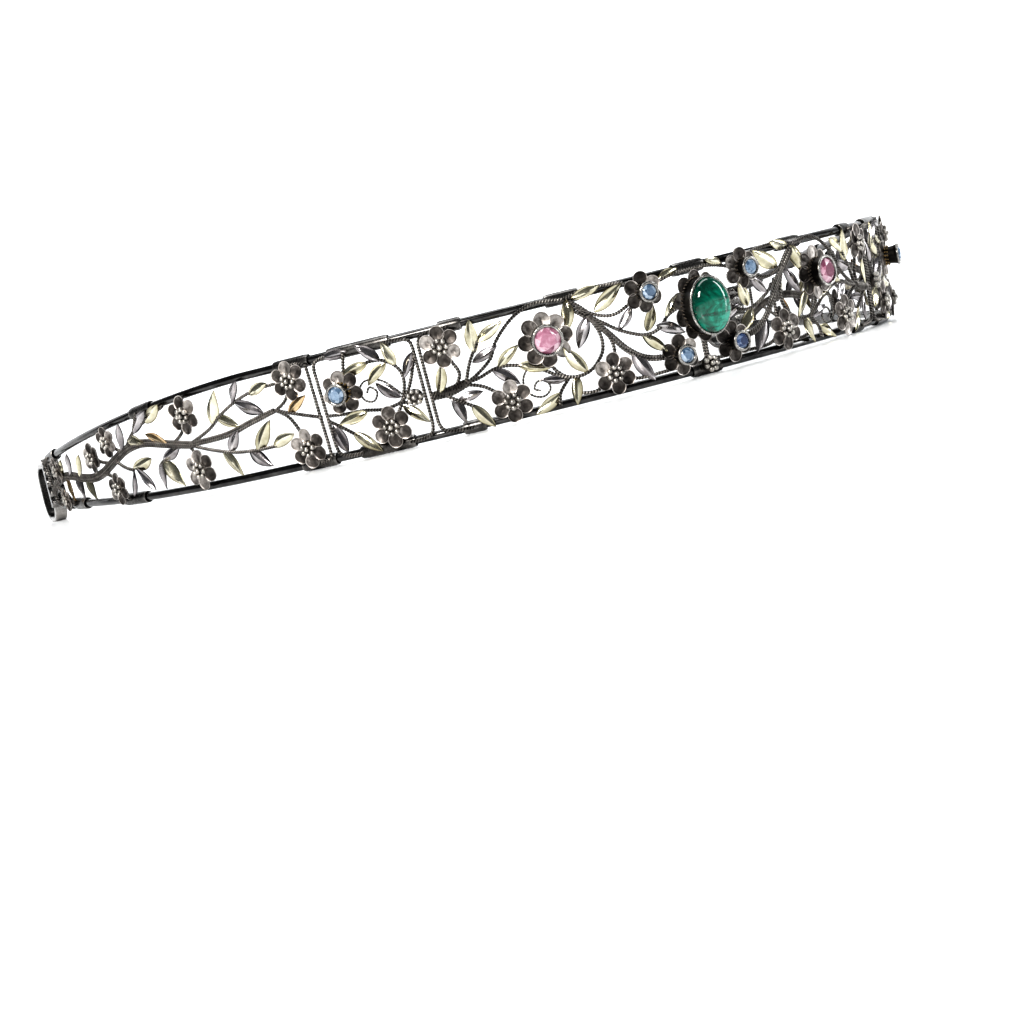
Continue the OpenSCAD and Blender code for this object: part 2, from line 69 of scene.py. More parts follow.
# Panels as (start, length) along the lower rail from the front, and where the loops stand
CENTRE = (0, CENTRE_HALF)
SIDE = (CENTRE_HALF + PANEL_GAP, SIDE_LENGTH)
END = (SIDE[0] + SIDE_LENGTH + PANEL_GAP, END_LENGTH)
PLATE_AT = END[0] + END_LENGTH + LOOP_DISTANCE
RAIL_END = PLATE_AT + RAIL_IN_LOOP
LOOP_MIDDLE = PLATE_AT + LOOP_LENGTH / 2

# How far out from the rail centres the stems and petals lie, and how high the lower rail runs
BORE_R = RAIL_R + SLEEVE_CLEARANCE
RAIL_Z = SLEEVE_R
STEM_LIFT = SLEEVE_R * math.cos(math.radians(30)) - SOLDER + STEM_R / 2
PETAL_BACK = STEM_LIFT + STEM_R + PETAL_LIFT
PETAL_FRONT = PETAL_BACK + PETAL_DEPTH

# Charts of one half: along from the panel's inner end, up from the lower rail, in hundredths
CENTRE_FLOWERS = [(36, 18, 1), (73, 16, 1), (92.5, 83, 1)]
SIDE_FLOWERS = [(38, 19, 1)]
END_FLOWERS = [(4.5, 86, 0.96), (4.5, 17, 0.97), (33, 20, 1), (33, 80, 0.97), (61, 80, 0.8), (69, 67, 0.8),
               (62, 18, 0.84), (90, 68, 0.72), (90, 12, 0.62)]
CENTRE_BERRIES = [(0, 5, 0.95)]
SIDE_BERRIES = [(9, 42, 0.95)]
CENTRE_SLEEVES = [(LOWER, 84, 92), (UPPER, 84, 92), (LOWER, -6, 6), (UPPER, -6, 6), (UPPER, 42, 54),
                  (UPPER, -54, -42), (LOWER, -92, -84), (UPPER, -92, -84)]
SIDE_SLEEVES = [(LOWER, 22, 78), (UPPER, 22, 84)]
END_SLEEVES = {LEFT: [(LOWER, 0, 8), (LOWER, 55, 64), (LOWER, 83, 90), (LOWER, 92, 100), (UPPER, 0, 8),
                      (UPPER, 44, 51), (UPPER, 93, 100)],
               RIGHT: [(LOWER, 0, 8), (LOWER, 59, 69), (LOWER, 70, 78), (LOWER, 93, 100), (UPPER, 0, 8),
                       (UPPER, 62, 70), (UPPER, 71, 79), (UPPER, 93, 100)]}

# Stems: how many wires lie side by side, or how thin a tendril is, then the bends
CENTRE_STEMS = [
    (1, (88, 0), (97, 2), (100, 13), (100, 50), (100, 88), (97, 98), (88, 100)),
    (3, (100, 38), (93, 39), (87, 43)),
    (1, (88, 42), (83, 48), (77, 60), (74, 74), (69, 88), (64, 97), (58, 102), (48, 99)),
    (1, (87, 43), (82, 45), (76, 50), (70, 49), (62, 41), (56, 30), (52, 24)),
    (1, (91, 41), (88.5, 53), (90, 66), (93, 83)),
    (1, (87, 43), (84, 62), (79, 82)),
    (1, (96, 38), (91, 28), (86, 19)),
    (1, (88, 42), (81, 35), (73, 16)),
    (0.6, (65, 44), (67.5, 34), (67.5, 23), (65, 15), (61.5, 13), (59, 19), (60, 27), (63, 28), (64.5, 22),
     (62.5, 19)),
    (1, (57, 66), (57, 42), (54, 29), (50, 24), (45, 25), (41, 32), (38, 44), (38, 60), (41, 79)),
    (1, (52, 24), (56, 12), (57, 0)),
    (3, (47, 95), (41, 79)),
    (1, (41, 79), (36, 60), (34, 42), (36, 18)),
    (2, (41, 79), (35, 57), (29, 36), (22, 24), (11, 20)),
    (1, (41, 79), (36, 68), (30, 56), (22, 47), (16, 50), (12, 60), (6, 66)),
    (1, (44, 88), (37, 76), (30, 74), (20, 88)),
    (1, (48, 99), (41, 103), (33, 103), (26, 100), (20, 88)),
    (1, (50, 8), (43, 6), (36, 18), (28, 8), (14, 8), (0, 8)),
]
CROSS_STEMS = [(2, (0, 60), (0, 8)), (1, (-20, 88), (-9, 97), (0, 98), (9, 97), (20, 88))]
SIDE_STEMS = [
    (1, (26, 0), (6, 2), (0, 14), (0, 50), (0, 88), (6, 98), (26, 100)),
    (1, (74, 0), (94, 2), (100, 14), (100, 50), (100, 88), (94, 98), (74, 100)),
    (1, (100, 43), (80, 41), (60, 40), (42, 37), (24, 40), (15, 49), (8, 62), (0, 82)),
    (1, (9, 42), (16, 38), (24, 40)),
    (1, (48, 85), (33, 84), (21, 76), (16, 65), (18, 51), (26, 35), (38, 19)),
    (0.6, (20, 46), (36, 64), (52, 68), (60, 61), (58, 50), (49, 47), (44, 55), (50, 61), (54, 56)),
    (1, (100, 38), (88, 29), (76, 19)),
    (1, (66, 100), (70, 86), (76, 63)),
    (1, (38, 19), (42, 0)),
]
END_STEMS = [
    (1, (4, 0), (0.8, 2), (0.4, 12), (0.4, 50), (0.4, 88), (0.8, 98), (4, 100)),
    (1, (96, 0), (99.2, 4), (99.6, 20), (99.6, 80), (99.2, 96), (96, 100)),
    (3, (100, 27), (95, 46), (88, 53), (83, 50), (77, 42), (72, 39), (67, 43), (61, 54), (55, 63), (49, 64),
     (42, 56), (34, 47)),
    (1, (56, 62), (51, 80), (46, 87), (39, 96)),
    (1, (40, 53), (36, 62), (33, 80)),
    (1, (35, 48), (28, 58), (22, 73), (14, 84), (4.5, 86)),
    (2, (35, 48), (24, 48), (17, 54), (10.2, 60.5)),
    (1, (10, 60), (7, 68), (4.5, 86)),
    (1, (10.2, 60.5), (6, 53), (0, 43)),
    (1, (10, 60), (7, 48), (4.5, 17)),
    (1, (35, 48), (29, 37), (23, 29), (17, 26), (12, 26)),
    (1, (61, 54), (58, 42), (55, 36)),
    (1, (38, 51), (42, 42), (45, 36)),
    (1, (35, 48), (34, 38), (33, 20)),
    (1, (68, 43), (64, 34), (62, 18)),
    (1, (57, 61), (60, 70), (61, 80)),
    (1, (62, 51), (67, 58), (69, 67)),
    (1, (90, 52), (90, 68)),
    (1, (96, 43), (93, 26), (90, 12)),
    (1, (90, 12), (88, 0)),
    (1, (62, 18), (60, 0)),
]
END_STEMS_OF = {LEFT: [(1, (51, 80), (48, 100))],
                RIGHT: [(1, (61, 80), (66, 100)), (1, (61, 80), (72, 100)), (1, (72, 39), (75, 0))]}

# Leaves: along, up, direction in degrees, size, metal (G pale gilt, O orange gold, S silver)
CENTRE_LEAVES = [
    (13, 96, 160, 0.7, "G"), (13, 59, 125, 0.8, "G"), (17, 53, -155, 1, "S"), (21, 50, 110, 0.9, "G"),
    (23, 47, -135, 0.95, "G"), (28, 33, -120, 1.15, "S"), (31, 58, 130, 0.85, "S"), (38, 80, 145, 1.2, "G"),
    (41, 78, -60, 1.05, "S"), (45, 26, 55, 1.1, "G"), (45, 98, 165, 0.9, "G"), (47, 97, -75, 1, "G"),
    (49, 24, -75, 0.9, "G"), (53, 24, 15, 0.8, "S"), (56, 12, -30, 1, "G"), (68, 48, -160, 1, "G"),
    (75, 50, 145, 0.95, "G"), (77, 49, -140, 0.95, "S"), (80, 79, 150, 1, "G"), (83, 61, 160, 0.9, "S"),
    (81.5, 69.5, 95, 1.05, "G"), (87, 21, -125, 1, "G"), (91, 29, 175, 0.8, "S"), (93, 32, -105, 0.9, "S"),
    (97, 39, 110, 0.95, "G"),
]
SIDE_LEAVES = [
    (2, 84, -60, 0.85, "S"), (20, 76, 75, 0.85, "G"), (23, 36, -135, 1, "G"), (23, 45, 40, 0.9, "S"),
    (29, 80, -40, 0.9, "G"), (34, 84, 45, 0.9, "S"), (46, 85, -15, 1, "G"), (59, 39, -10, 1, "G"),
    (78, 21, -135, 1.1, "G"), (88, 99, 180, 0.9, "S"), (96, 34, -105, 1, "S"),
]
END_LEAVES = [
    (7, 55, 150, 0.9, "O"), (13, 26, 165, 1, "G"), (15, 81, 165, 0.9, "G"), (17, 25, 130, 1.2, "G"),
    (19, 28, -140, 1, "S"), (19.4, 78, -155, 1.2, "S"), (20, 77, 125, 0.85, "S"), (24, 31, 135, 0.9, "S"),
    (25, 68, -155, 1, "G"), (26, 33, -125, 1.1, "G"), (26.5, 61.5, 115, 1.2, "G"), (38, 48, -20, 1, "S"),
    (41, 56, 25, 1, "O"), (44, 38, -130, 1.2, "G"), (46, 86, 155, 1.15, "G"), (45, 37, -85, 0.9, "S"),
    (48, 44, -10, 1.1, "G"), (51, 79, 150, 1.2, "S"), (54, 38, -130, 1.1, "S"), (55, 37, -70, 0.95, "S"),
    (54, 73, -170, 1, "G"), (57.3, 62.5, 115, 1.05, "S"), (76, 40, -120, 0.85, "G"), (79, 45, 125, 0.95, "G"),
    (81, 46, -110, 0.85, "S"), (84, 52, 115, 0.85, "S"), (87, 51, -110, 0.9, "O"), (88, 54.5, 100, 0.62, "G"),
]

# Twisted wires: depth of the groove and width of the ends as shares, steps and pitches in millimetres
GROOVE, THIN_END, ROPE_STEP, ROPE_PITCH, ROPE_LIFT = 0.4, 0.6, 0.14, 0.98, 0.08
# A bundle's wires: thickness, distance in radii, rise of the middle one, and how much its ends draw in
BUNDLE_WIRE, BUNDLE_GAP, MIDDLE_WIRE_LIFT, BUNDLE_NARROW = 0.95, 1.5, 0.16, 0.2
# The wire wound round a trunk: step, pitch, reach to each side, radius, then lift, rise and least rise
COIL_STEP, COIL_PITCH, COIL_REACH, COIL_WIRE = 0.05, 0.42, 0.62, 0.14
COIL_LIFT, COIL_RISE, COIL_BACK = 0.05, 0.5, -0.35

# A leaf: rows and columns of its mesh, height of the ridge and the turned edge, thickness at the edge and
# what the ridge adds, half width of the root, how far it starts before the root, and its lift
LEAF_ROWS, LEAF_COLS = 13, 9
LEAF_RIDGE, LEAF_EDGE, LEAF_THIN, LEAF_THICKER = 0.55, 0.1, 0.15, 0.1
LEAF_ROOT, LEAF_BEFORE, LEAF_LIFT = 0.06, 0.1, 0.06
LEAF_METALS = {"G": 0, "O": 1, "S": 2}  # Places in LOOKS

# Rings of a petal: share of its radius, tone
PETAL_RINGS = [(0.0, 0.1), (0.3, 0.2), (0.55, 0.32), (0.75, 0.3), (0.88, 0.22), (0.95, 0.95), (1.0, 1.0)]
# A petal's sides, thickness, height of the rim and where it begins, and depth of the crease
PETAL_SIDES, PETAL_THIN, PETAL_RIM, PETAL_RIM_FROM, PETAL_CREASE = 20, 0.2, 0.07, 0.93, 0.1
# Petals are a little wider than their share of the ring, and mounds sit low between them
PETAL_OVERLAP, SET_OVERLAP, EMERALD_OVERLAP = 1.06, 1.1, 1.08
MOUND_BASE = PETAL_FRONT - 0.05

# Set stones: panel, along, up, diameter, number of petals, size over the petals beside a plain flower's
PINK = (CENTRE, 57, 66, PINK_D, 8, 1.3)
UPPER_BLUE = (CENTRE, 20, 88, BLUE_D, 6, 0.98)
LOWER_BLUE = (CENTRE, 11, 20, BLUE_D, 6, 0.98)
OUTER_BLUE = (SIDE, 76, 63, OUTER_BLUE_D, 7, 1.05)
EMERALD_PETALS, EMERALD_NOTCHES, NOTCHES_PER_MM, FEWEST_NOTCHES = 10, 46, 6, 14
# Depth of a seat as a share of its stone, and its least depth
SEAT_SHARE, SEAT_LEAST = 0.25, 0.3
# A cut stone: widths as shares of its own, heights over the collet in depths of its seat, and how far up
# from girdle to table the kites meet
TABLE_WIDTH, CROWN_WIDTH, FOOT_WIDTH = 0.58, 0.79, 0.25
TABLE_HEIGHT, GIRDLE_HEIGHT, FOOT_HEIGHT, CROWN_SHARE = 0.25, -0.25, -0.9, 0.52
# The emerald: curve of its dome, height over the solid's dome, width of the foot and its depth
DOME_CURVE, DOME_OVER, EMERALD_FOOT_WIDTH, EMERALD_FOOT = 0.9, 0.02, 0.98, 1.6

# Sleeves: sides and steps, how far inside the radius the wall, ends and lips lie, and a lip's reach
SLEEVE_SIDES, SLEEVE_STEPS, RAIL_SIDES = 18, 10, 16
SLEEVE_WALL, SLEEVE_END, SLEEVE_LIP, LIP_REACH = 0.02, 0.1, 0.16, 0.03
# Loops: bevels of the plates and the strip, and the beads on the cross plate
PLATE_BEVEL, STRIP_BEVEL, PLATE_BEAD_R, PLATE_BEAD_SINK, PLATE_BEAD_GAP = 0.12, 0.16, 0.42, 0.25, 1.0


# The band's surface

def plan_from_front(s):
    """Places of the lower rail in plan at distances along it from the front's middle, and its directions."""
    s = np.asarray(s, float)
    d = np.abs(s)
    a = np.minimum(d, FRONT_ARC) / FRONT_RADIUS + np.maximum(d - FRONT_ARC, 0) / ARM_RADIUS
    turn = FRONT_ARC / FRONT_RADIUS
    front = d < FRONT_ARC
    x = np.where(front, FRONT_RADIUS * np.sin(a),
                 FRONT_RADIUS * math.sin(turn) + ARM_RADIUS * (np.sin(a) - math.sin(turn)))
    y = np.where(front, FRONT_RADIUS * (1 - np.cos(a)),
                 FRONT_RADIUS * (1 - math.cos(turn)) + ARM_RADIUS * (math.cos(turn) - np.cos(a)))
    return np.sign(s) * x, y, np.sign(s) * a


def middle_of_part():
    """How far back the origin lies: halfway from the emerald's top to the ends of the loops."""
    emerald_out = PETAL_FRONT + EMERALD_COLLET + STONE_CLEARANCE + EMERALD_DOME
    front_most = -emerald_out * math.cos(LEAN) - BAND_HEIGHT * EMERALD_UP / 100 * math.sin(LEAN)
    y, a = plan_from_front(LOOP_MIDDLE)[1:]
    back_most = y + LOOP_LENGTH / 2 * math.sin(a) + LOOP_DEPTH / 2 * abs(math.cos(a))
    return float(front_most + back_most) / 2


MIDDLE = middle_of_part()


def plan(s):
    """The same in the part's own frame."""
    x, y, a = plan_from_front(s)
    return x, y - MIDDLE, a


def past(s):
    """How far the narrowing has come, from 0 to 1."""
    return np.clip((np.abs(s) / RAIL_END - TAPER_START) / (1 - TAPER_START), 0, 1)


def height_at(s):
    return BAND_HEIGHT - (BAND_HEIGHT - END_HEIGHT) * past(s) ** TAPER_POWER


def low_at(s):
    return RAIL_Z + END_RISE * past(s) ** 2


def spot(s, h, out):
    """Places at a distance along, up the band and out from the rail centres, as rows."""
    s, h, out = np.broadcast_arrays(s, h, out)
    x, y, a = plan(s)
    o = out * math.cos(LEAN) + h * math.sin(LEAN)
    return np.stack([x + np.sin(a) * o, y - np.cos(a) * o,
                     low_at(s) + h * math.cos(LEAN) - out * math.sin(LEAN)], -1)


def facing(s):
    """The band's outward directions."""
    a = plan(s)[2]
    return np.stack([np.sin(a) * math.cos(LEAN), -np.cos(a) * math.cos(LEAN),
                     np.full(np.shape(a), -math.sin(LEAN))], -1)


def along_of(panel, share):
    """Hundredths of a panel as distances along the lower rail."""
    return panel[0] + panel[1] * np.asarray(share, float) / 100


def up_of(s, share):
    """Hundredths of the band's height as distances up from the lower rail."""
    return height_at(s) * np.asarray(share, float) / 100


def place_on(panel, along, up):
    """Puts points given along, up and out from a place on a panel where they belong."""
    s = along_of(panel, along)
    n = facing(s)
    a = plan(s)[2]
    u = np.array([math.sin(a) * math.sin(LEAN), -math.cos(a) * math.sin(LEAN), math.cos(LEAN)])
    o, t = spot(s, up_of(s, up), 0), np.cross(u, n)
    return lambda p: o + p[..., :1] * t + p[..., 1:2] * u + p[..., 2:3] * n


# Meshes

class Piece:
    """Collects the surfaces of one piece, in millimetres."""

    def __init__(self):
        self.v, self.f, self.tone, self.slots, self.n = [], [], [], [], 0

    def add(self, verts, faces, tone=0.5, slot=0, mirror=False):
        verts = np.asarray(verts, float).reshape(-1, 3)
        if mirror:
            verts = verts * [-1, 1, 1]
            faces = [f[::-1] for f in faces]
        self.v.append(verts)
        self.f.extend([tuple(i + self.n for i in f) for f in faces])
        self.tone.append(np.broadcast_to(tone, (len(verts),)))
        self.slots.extend([slot] * len(faces))
        self.n += len(verts)

    def build(self, name, materials, nodes, smooth, slot_name="dark_silver"):
        mesh = bpy.data.meshes.new(name)
        mesh.from_pydata((np.concatenate(self.v) * MM).tolist(), [], self.f)
        for m in materials:
            mesh.materials.append(m)
        mesh.polygons.foreach_set("material_index", self.slots)
        tone = mesh.attributes.new("tone", "FLOAT", "POINT")
        tone.data.foreach_set("value", np.concatenate(self.tone).astype(np.float32))
        mesh.update()
        obj = bpy.data.objects.new(name, mesh)
        scene.collection.objects.link(obj)
        if smooth:
            mesh.shade_smooth()
            mesh.set_sharp_from_angle(angle=math.radians(smooth))
        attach(obj, "root")
        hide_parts(*nodes)


def grid_faces(rows, cols, around=False):
    """Quads of a grid of points; around closes each row."""
    last = cols if around else cols - 1
    return [(i * cols + k, i * cols + (k + 1) % cols, (i + 1) * cols + (k + 1) % cols, (i + 1) * cols + k)
            for i in range(rows - 1) for k in range(last)]


def unit(v):
    return v / np.maximum(np.linalg.norm(v, axis=-1, keepdims=True), 1e-12)


def all_round(count):
    """Angles evenly spaced round a circle."""
    return np.arange(count) * 2 * math.pi / count


def smooth_path(bends, steps=8):
    """A smooth curve through bends, as points."""
    p = np.asarray(bends, float)
    if len(p) < 3:
        t = np.linspace(0, 1, steps + 1)[:, None]
        return p[0] * (1 - t) + p[-1] * t
    out = []
    for i in range(len(p) - 1):
        a, b, c, d = p[max(i - 1, 0)], p[i], p[i + 1], p[min(i + 2, len(p) - 1)]
        for k in range(steps):
            t = k / steps
            out.append(0.5 * (2 * b + (c - a) * t + (2 * a - 5 * b + 4 * c - d) * t * t
                              + (3 * b - a - 3 * c + d) * t ** 3))
    return np.array(out + [p[-1]])


def distances(points):
    """How far along a path each of its points lies."""
    return np.concatenate([[0], np.cumsum(np.linalg.norm(np.diff(points, axis=0), axis=1))])


def even(points, step):
    """The same path with even steps."""
    d = distances(points)
    n = max(int(math.ceil(d[-1] / step)), 2)
    t = np.linspace(0, d[-1], n + 1)
    return np.stack([np.interp(t, d, points[:, k]) for k in range(points.shape[1])], 1)


def caps(rows, cols):
    """The faces that close both ends of a tube of points."""
    last = (rows - 1) * cols
    return [tuple(range(cols - 1, -1, -1)), tuple(last + i for i in range(cols))]


def spokes(places, normals, angles):
    """The directions of a path, and those across it at angles round it."""
    t = unit(np.gradient(places, axis=0))
    a = unit(np.cross(t, normals))
    b = np.cross(a, t)
    return t, np.cos(angles)[..., None] * a[:, None, :] + np.sin(angles)[..., None] * b[:, None, :]


def sweep(piece, places, normals, radius, sides, twist=0.0, lobed=False, tone=0.5, mirror=False):
    """A bar along places, thinner at both ends. A lobed one is a pair of wires twisted together."""
    n = len(places)
    k = all_round(sides)
    ridge = np.abs(np.cos(k)) ** 1.2
    section = 1 - GROOVE + GROOVE * ridge if lobed else np.ones(sides)
    across = spokes(places, normals, k[None, :] + np.broadcast_to(twist, (n,))[:, None])[1]
    radius = np.full(n, float(radius))
    radius[[0, -1]] *= THIN_END
    ring = places[:, None, :] + (radius[:, None] * section[None, :])[..., None] * across
    faces = grid_faces(n, sides, True) + caps(n, sides)
    shade = np.tile(ridge, n) if lobed else tone
    piece.add(ring, [f[::-1] for f in faces], shade, 0, mirror)


# Stems

def path_along(panel, bends, step):
    """Bends in shares of a panel as an even path in millimetres, kept inside the panel's ends."""
    along, up = np.array(bends, float).T
    s = along_of(panel, along)
    path = smooth_path(np.stack([s, up_of(s, up)], 1))
    first = -panel[1] if panel is CENTRE else panel[0]
    path[:, 0] = np.clip(path[:, 0], first, panel[0] + panel[1])
    path = even(path, step)
    flow = unit(np.gradient(path, axis=0))
    return path, np.stack([-flow[:, 1], flow[:, 0]], 1)


def rope(piece, panel, row, mirror, rng):
    """One or more twisted wires side by side along a stem's bends."""
    wires, *bends = row
    path, side = path_along(panel, bends, ROPE_STEP)
    count = max(int(wires), 1)
    thick = STEM_R * min(wires, 1) * (1.0 if count == 1 else BUNDLE_WIRE)
    share = np.linspace(0, 1, len(path))
    for i in range(count):
        gap = (i - (count - 1) / 2) * STEM_R * BUNDLE_GAP
        spread = gap * (1 - BUNDLE_NARROW + BUNDLE_NARROW * np.sin(share * math.pi)) if count > 1 else 0
        q = path + side * np.reshape(spread, (-1, 1))
        lift = STEM_LIFT + ROPE_LIFT + (MIDDLE_WIRE_LIFT if count == 3 and i == 1 else 0)
        places = spot(q[:, 0], q[:, 1], lift)
        turn = (distances(places) / ROPE_PITCH * 2 * math.pi) * (-1 if mirror else 1) + rng.random() * 6
        sweep(piece, places, facing(q[:, 0]), thick, 8, turn, True, mirror=mirror)


def coil(piece, panel, bends, mirror):
    """A thin wire wound round a trunk."""
    path, side = path_along(panel, bends, COIL_STEP)
    d = np.arange(len(path)) * COIL_STEP / COIL_PITCH * 2 * math.pi
    q = path + side * (np.cos(d) * COIL_REACH)[:, None]
    out = STEM_LIFT + COIL_LIFT + np.maximum(np.sin(d), COIL_BACK) * COIL_RISE
    sweep(piece, spot(q[:, 0], q[:, 1], out), facing(q[:, 0]), COIL_WIRE, 5, tone=0.6, mirror=mirror)


# Leaves

def leaf(piece, panel, row, mirror, rng):
    """A blade pointed at both ends, pinched along its middle, with a thin turned edge."""
    along, up, direction, size, metal = row
    s0 = along_of(panel, along)
    h0 = up_of(s0, up)
    # Each leaf has its own direction, width, bow, lift, tilt, twist and line of the ridge
    turn = math.radians(direction + rng.uniform(-3, 3))
    length = LEAF_LENGTH * size
    half = length * LEAF_WIDTH / 2 * rng.uniform(1.0, 1.1)
    t = np.linspace(0, 1, LEAF_ROWS)
    c = np.linspace(-1, 1, LEAF_COLS)
    width = half * np.sin(math.pi * t ** 0.9) ** 0.82 + LEAF_ROOT * (1 - t)
    bow = rng.uniform(-0.22, 0.22) * np.sin(math.pi * t)
    lift = rng.uniform(0.0, 0.6) * t ** 2 + 0.1
    tilt = rng.uniform(-0.3, 0.3)
    twist = rng.choice((-1, 1)) * rng.uniform(0.5, 1.1)
    ridge_at = rng.uniform(-0.25, 0.25)
    T, C = np.meshgrid(t, c, indexing="ij")
    d = np.abs(C - ridge_at * np.sin(math.pi * T)) / (1 + np.abs(ridge_at))
    fold = LEAF_RIDGE * ((1 - d) - 0.9 * d * (1 - d)) * np.sin(math.pi * T) ** 0.6
    edge = LEAF_EDGE * np.maximum(np.abs(C) - 0.7, 0) / 0.3
    lean = (tilt + twist * (T - 0.5)) * C * width[:, None]
    out = STEM_LIFT + LEAF_LIFT + fold + edge * np.sin(math.pi * T) + lift[:, None] + lean
    A = (t * length - LEAF_BEFORE)[:, None]
    B = C * width[:, None] + bow[:, None]
    s = s0 + A * math.cos(turn) - B * math.sin(turn)
    h = h0 + A * math.sin(turn) + B * math.cos(turn)
    top = spot(s, h, out).reshape(-1, 3)
    under = spot(s, h, out - LEAF_THIN - LEAF_THICKER * (1 - np.abs(C))).reshape(-1, 3)
    n = LEAF_ROWS * LEAF_COLS
    faces = grid_faces(LEAF_ROWS, LEAF_COLS)
    back = [tuple(i + n for i in f[::-1]) for f in faces]
    rim = []
    for i in range(LEAF_ROWS - 1):
        a, b = i * LEAF_COLS, (i + 1) * LEAF_COLS
        rim.append((a, b, b + n, a + n))
        a, b = a + LEAF_COLS - 1, b + LEAF_COLS - 1
        rim.append((b, a, a + n, b + n))
    for k in range(LEAF_COLS - 1):
        rim.append((k + 1, k, k + n, k + 1 + n))
        e = (LEAF_ROWS - 1) * LEAF_COLS
        rim.append((e + k, e + k + 1, e + k + 1 + n, e + k + n))
    # Painted highlight along the ridge; darker at the edges, towards both ends and on the back
    tone = 0.62 + 0.35 * np.exp(-(d * 5) ** 2) - 0.6 * np.maximum(np.abs(C) - 0.75, 0) / 0.25
    tone = tone * np.clip(np.minimum(T, 1 - T) * 9, 0.15, 1) + rng.uniform(-0.1, 0.12)
    tone = np.concatenate([tone.reshape(-1), np.full(n, 0.1)])
    piece.add(np.concatenate([top, under]), [f[::-1] for f in faces + back + rim], tone, LEAF_METALS[metal],
              mirror)


# Flowers

def petal(piece, put, angle, ring, r, rng, mirror, oval):
    """A round petal, a little cupped and bent, with a thin turned rim."""
    rho, tones = np.array(PETAL_RINGS).T
    rings, sides = len(rho), PETAL_SIDES
    cup = rng.uniform(0.1, 0.2) * r
    lean, roll = rng.uniform(-0.16, 0.12), rng.uniform(-0.12, 0.12)
    a = all_round(sides)
    wave = 1 + rng.uniform(0.0, 0.035) * np.sin(2 * a + rng.random() * 6) \
        + rng.uniform(0.0, 0.02) * np.sin(3 * a)
    X = rho[:, None] * np.cos(a)[None, :] * r * wave
    Y = rho[:, None] * np.sin(a)[None, :] * r * wave
    crease = PETAL_CREASE * np.exp(-(Y / (0.18 * r)) ** 2) * (X < 0.4 * r)
    lip = np.where(rho > PETAL_RIM_FROM, PETAL_RIM, 0)[:, None]
    Z = cup * rho[:, None] ** 2 + X * lean + Y * roll - crease * (1 - rho[:, None]) + lip

    def world(Z):
        x = ring + X
        px = (x * math.cos(angle) - Y * math.sin(angle)) * oval[0]
        py = (x * math.sin(angle) + Y * math.cos(angle)) * oval[1]
        return put(np.stack([px, py, PETAL_BACK + PETAL_THIN + Z], -1)).reshape(-1, 3)

    n, last = rings * sides, (rings - 1) * sides
    faces = grid_faces(rings, sides, True)
    back = [tuple(i + n for i in f[::-1]) for f in faces]
    rim = [(last + k, last + (k + 1) % sides, last + (k + 1) % sides + n, last + k + n) for k in range(sides)]
    tone = np.repeat(tones, sides)
    tone = np.clip(tone + rng.choice((-0.15, -0.08, 0.0, 0.1, 0.4)) + rng.uniform(-0.06, 0.06), 0, 1)
    piece.add(np.concatenate([world(Z), world(Z - PETAL_THIN)]), faces + back + rim,
              np.concatenate([tone, tone * 0.3]), 0, mirror)


def ball(piece, put, x, y, z, r, mirror, tone=0.7, rows=7, sides=12, slot=0):
    """A ball at a place on a flower's axes."""
    v = np.linspace(0, math.pi, rows)[:, None]
    a = all_round(sides)
    p = np.stack([x + r * np.sin(v) * np.cos(a), y + r * np.sin(v) * np.sin(a),
                  np.broadcast_to(z + r * np.cos(v), (rows, sides))], -1)
    piece.add(put(p), [f[::-1] for f in grid_faces(rows, sides, True)], tone, slot, mirror)


def turned(piece, put, profile, w, h, sides, slot, mirror, closed=False):
    """Turns a profile of (distance past an oval w by h, height, tone) round a flower's axis."""
    a = all_round(sides)
    rows = [[((w / 2 + g) * math.cos(k), (h / 2 + g) * math.sin(k), z) for k in a] for g, z, _ in profile]
    faces = grid_faces(len(profile), sides, True)
    if closed:
        faces += caps(len(profile), sides)
    tones = np.repeat([row[2] for row in profile], sides)
    piece.add(put(np.array(rows)), faces, tones, slot, mirror)


def granules(parts, put, size, rng, mirror):
    """A mound of eight small balls on a dark cup."""
    cup = [(g * size, MOUND_BASE + z, 0.1) for g, z in ((1.3, -0.9), (1.42, -0.3), (1.25, 0.05), (0.6, 0.28))]
    turned(parts["petals"], put, cup, 0, 0, 16, 0, mirror, True)
    r = 0.46 * size
    ball(parts["granules"], put, 0, 0, MOUND_BASE + 0.66 * size, r, mirror)
    turn = rng.random() * 6
    for k in range(7):
        a = turn + k * 2 * math.pi / 7
        d = (1.06 + rng.uniform(-0.04, 0.04)) * size
        z = MOUND_BASE + (0.34 + rng.uniform(-0.05, 0.05)) * size
        ball(parts["granules"], put, d * math.cos(a), d * math.sin(a), z, r * rng.uniform(0.9, 1.05), mirror)


def petals_round(parts, put, count, over, overlap, stray, rng, mirror, oval=(1, 1)):
    """Petals round a place, out to a distance over their tips, that stray a little from even angles."""
    r = over / (1 + 1 / math.sin(math.pi / count)) * overlap
    for k in range(count):
        angle = math.radians(90 + 360 * k / count) + (rng.uniform(-stray, stray) if stray else 0)
        petal(parts["petals"], put, angle, over - r, r, rng, mirror, oval)


def flower(parts, panel, row, mirror, rng):
    """Six petals round a mound."""
    along, up, size = row
    put = place_on(panel, along, up)
    petals_round(parts, put, 6, FLOWER_D * size / 2, PETAL_OVERLAP, 0.06, rng, mirror)
    granules(parts, put, size, rng, mirror)


def berries(parts, panel, row, mirror, rng):
    """A mound without petals."""
    along, up, size = row
    granules(parts, place_on(panel, along, up), size, rng, mirror)


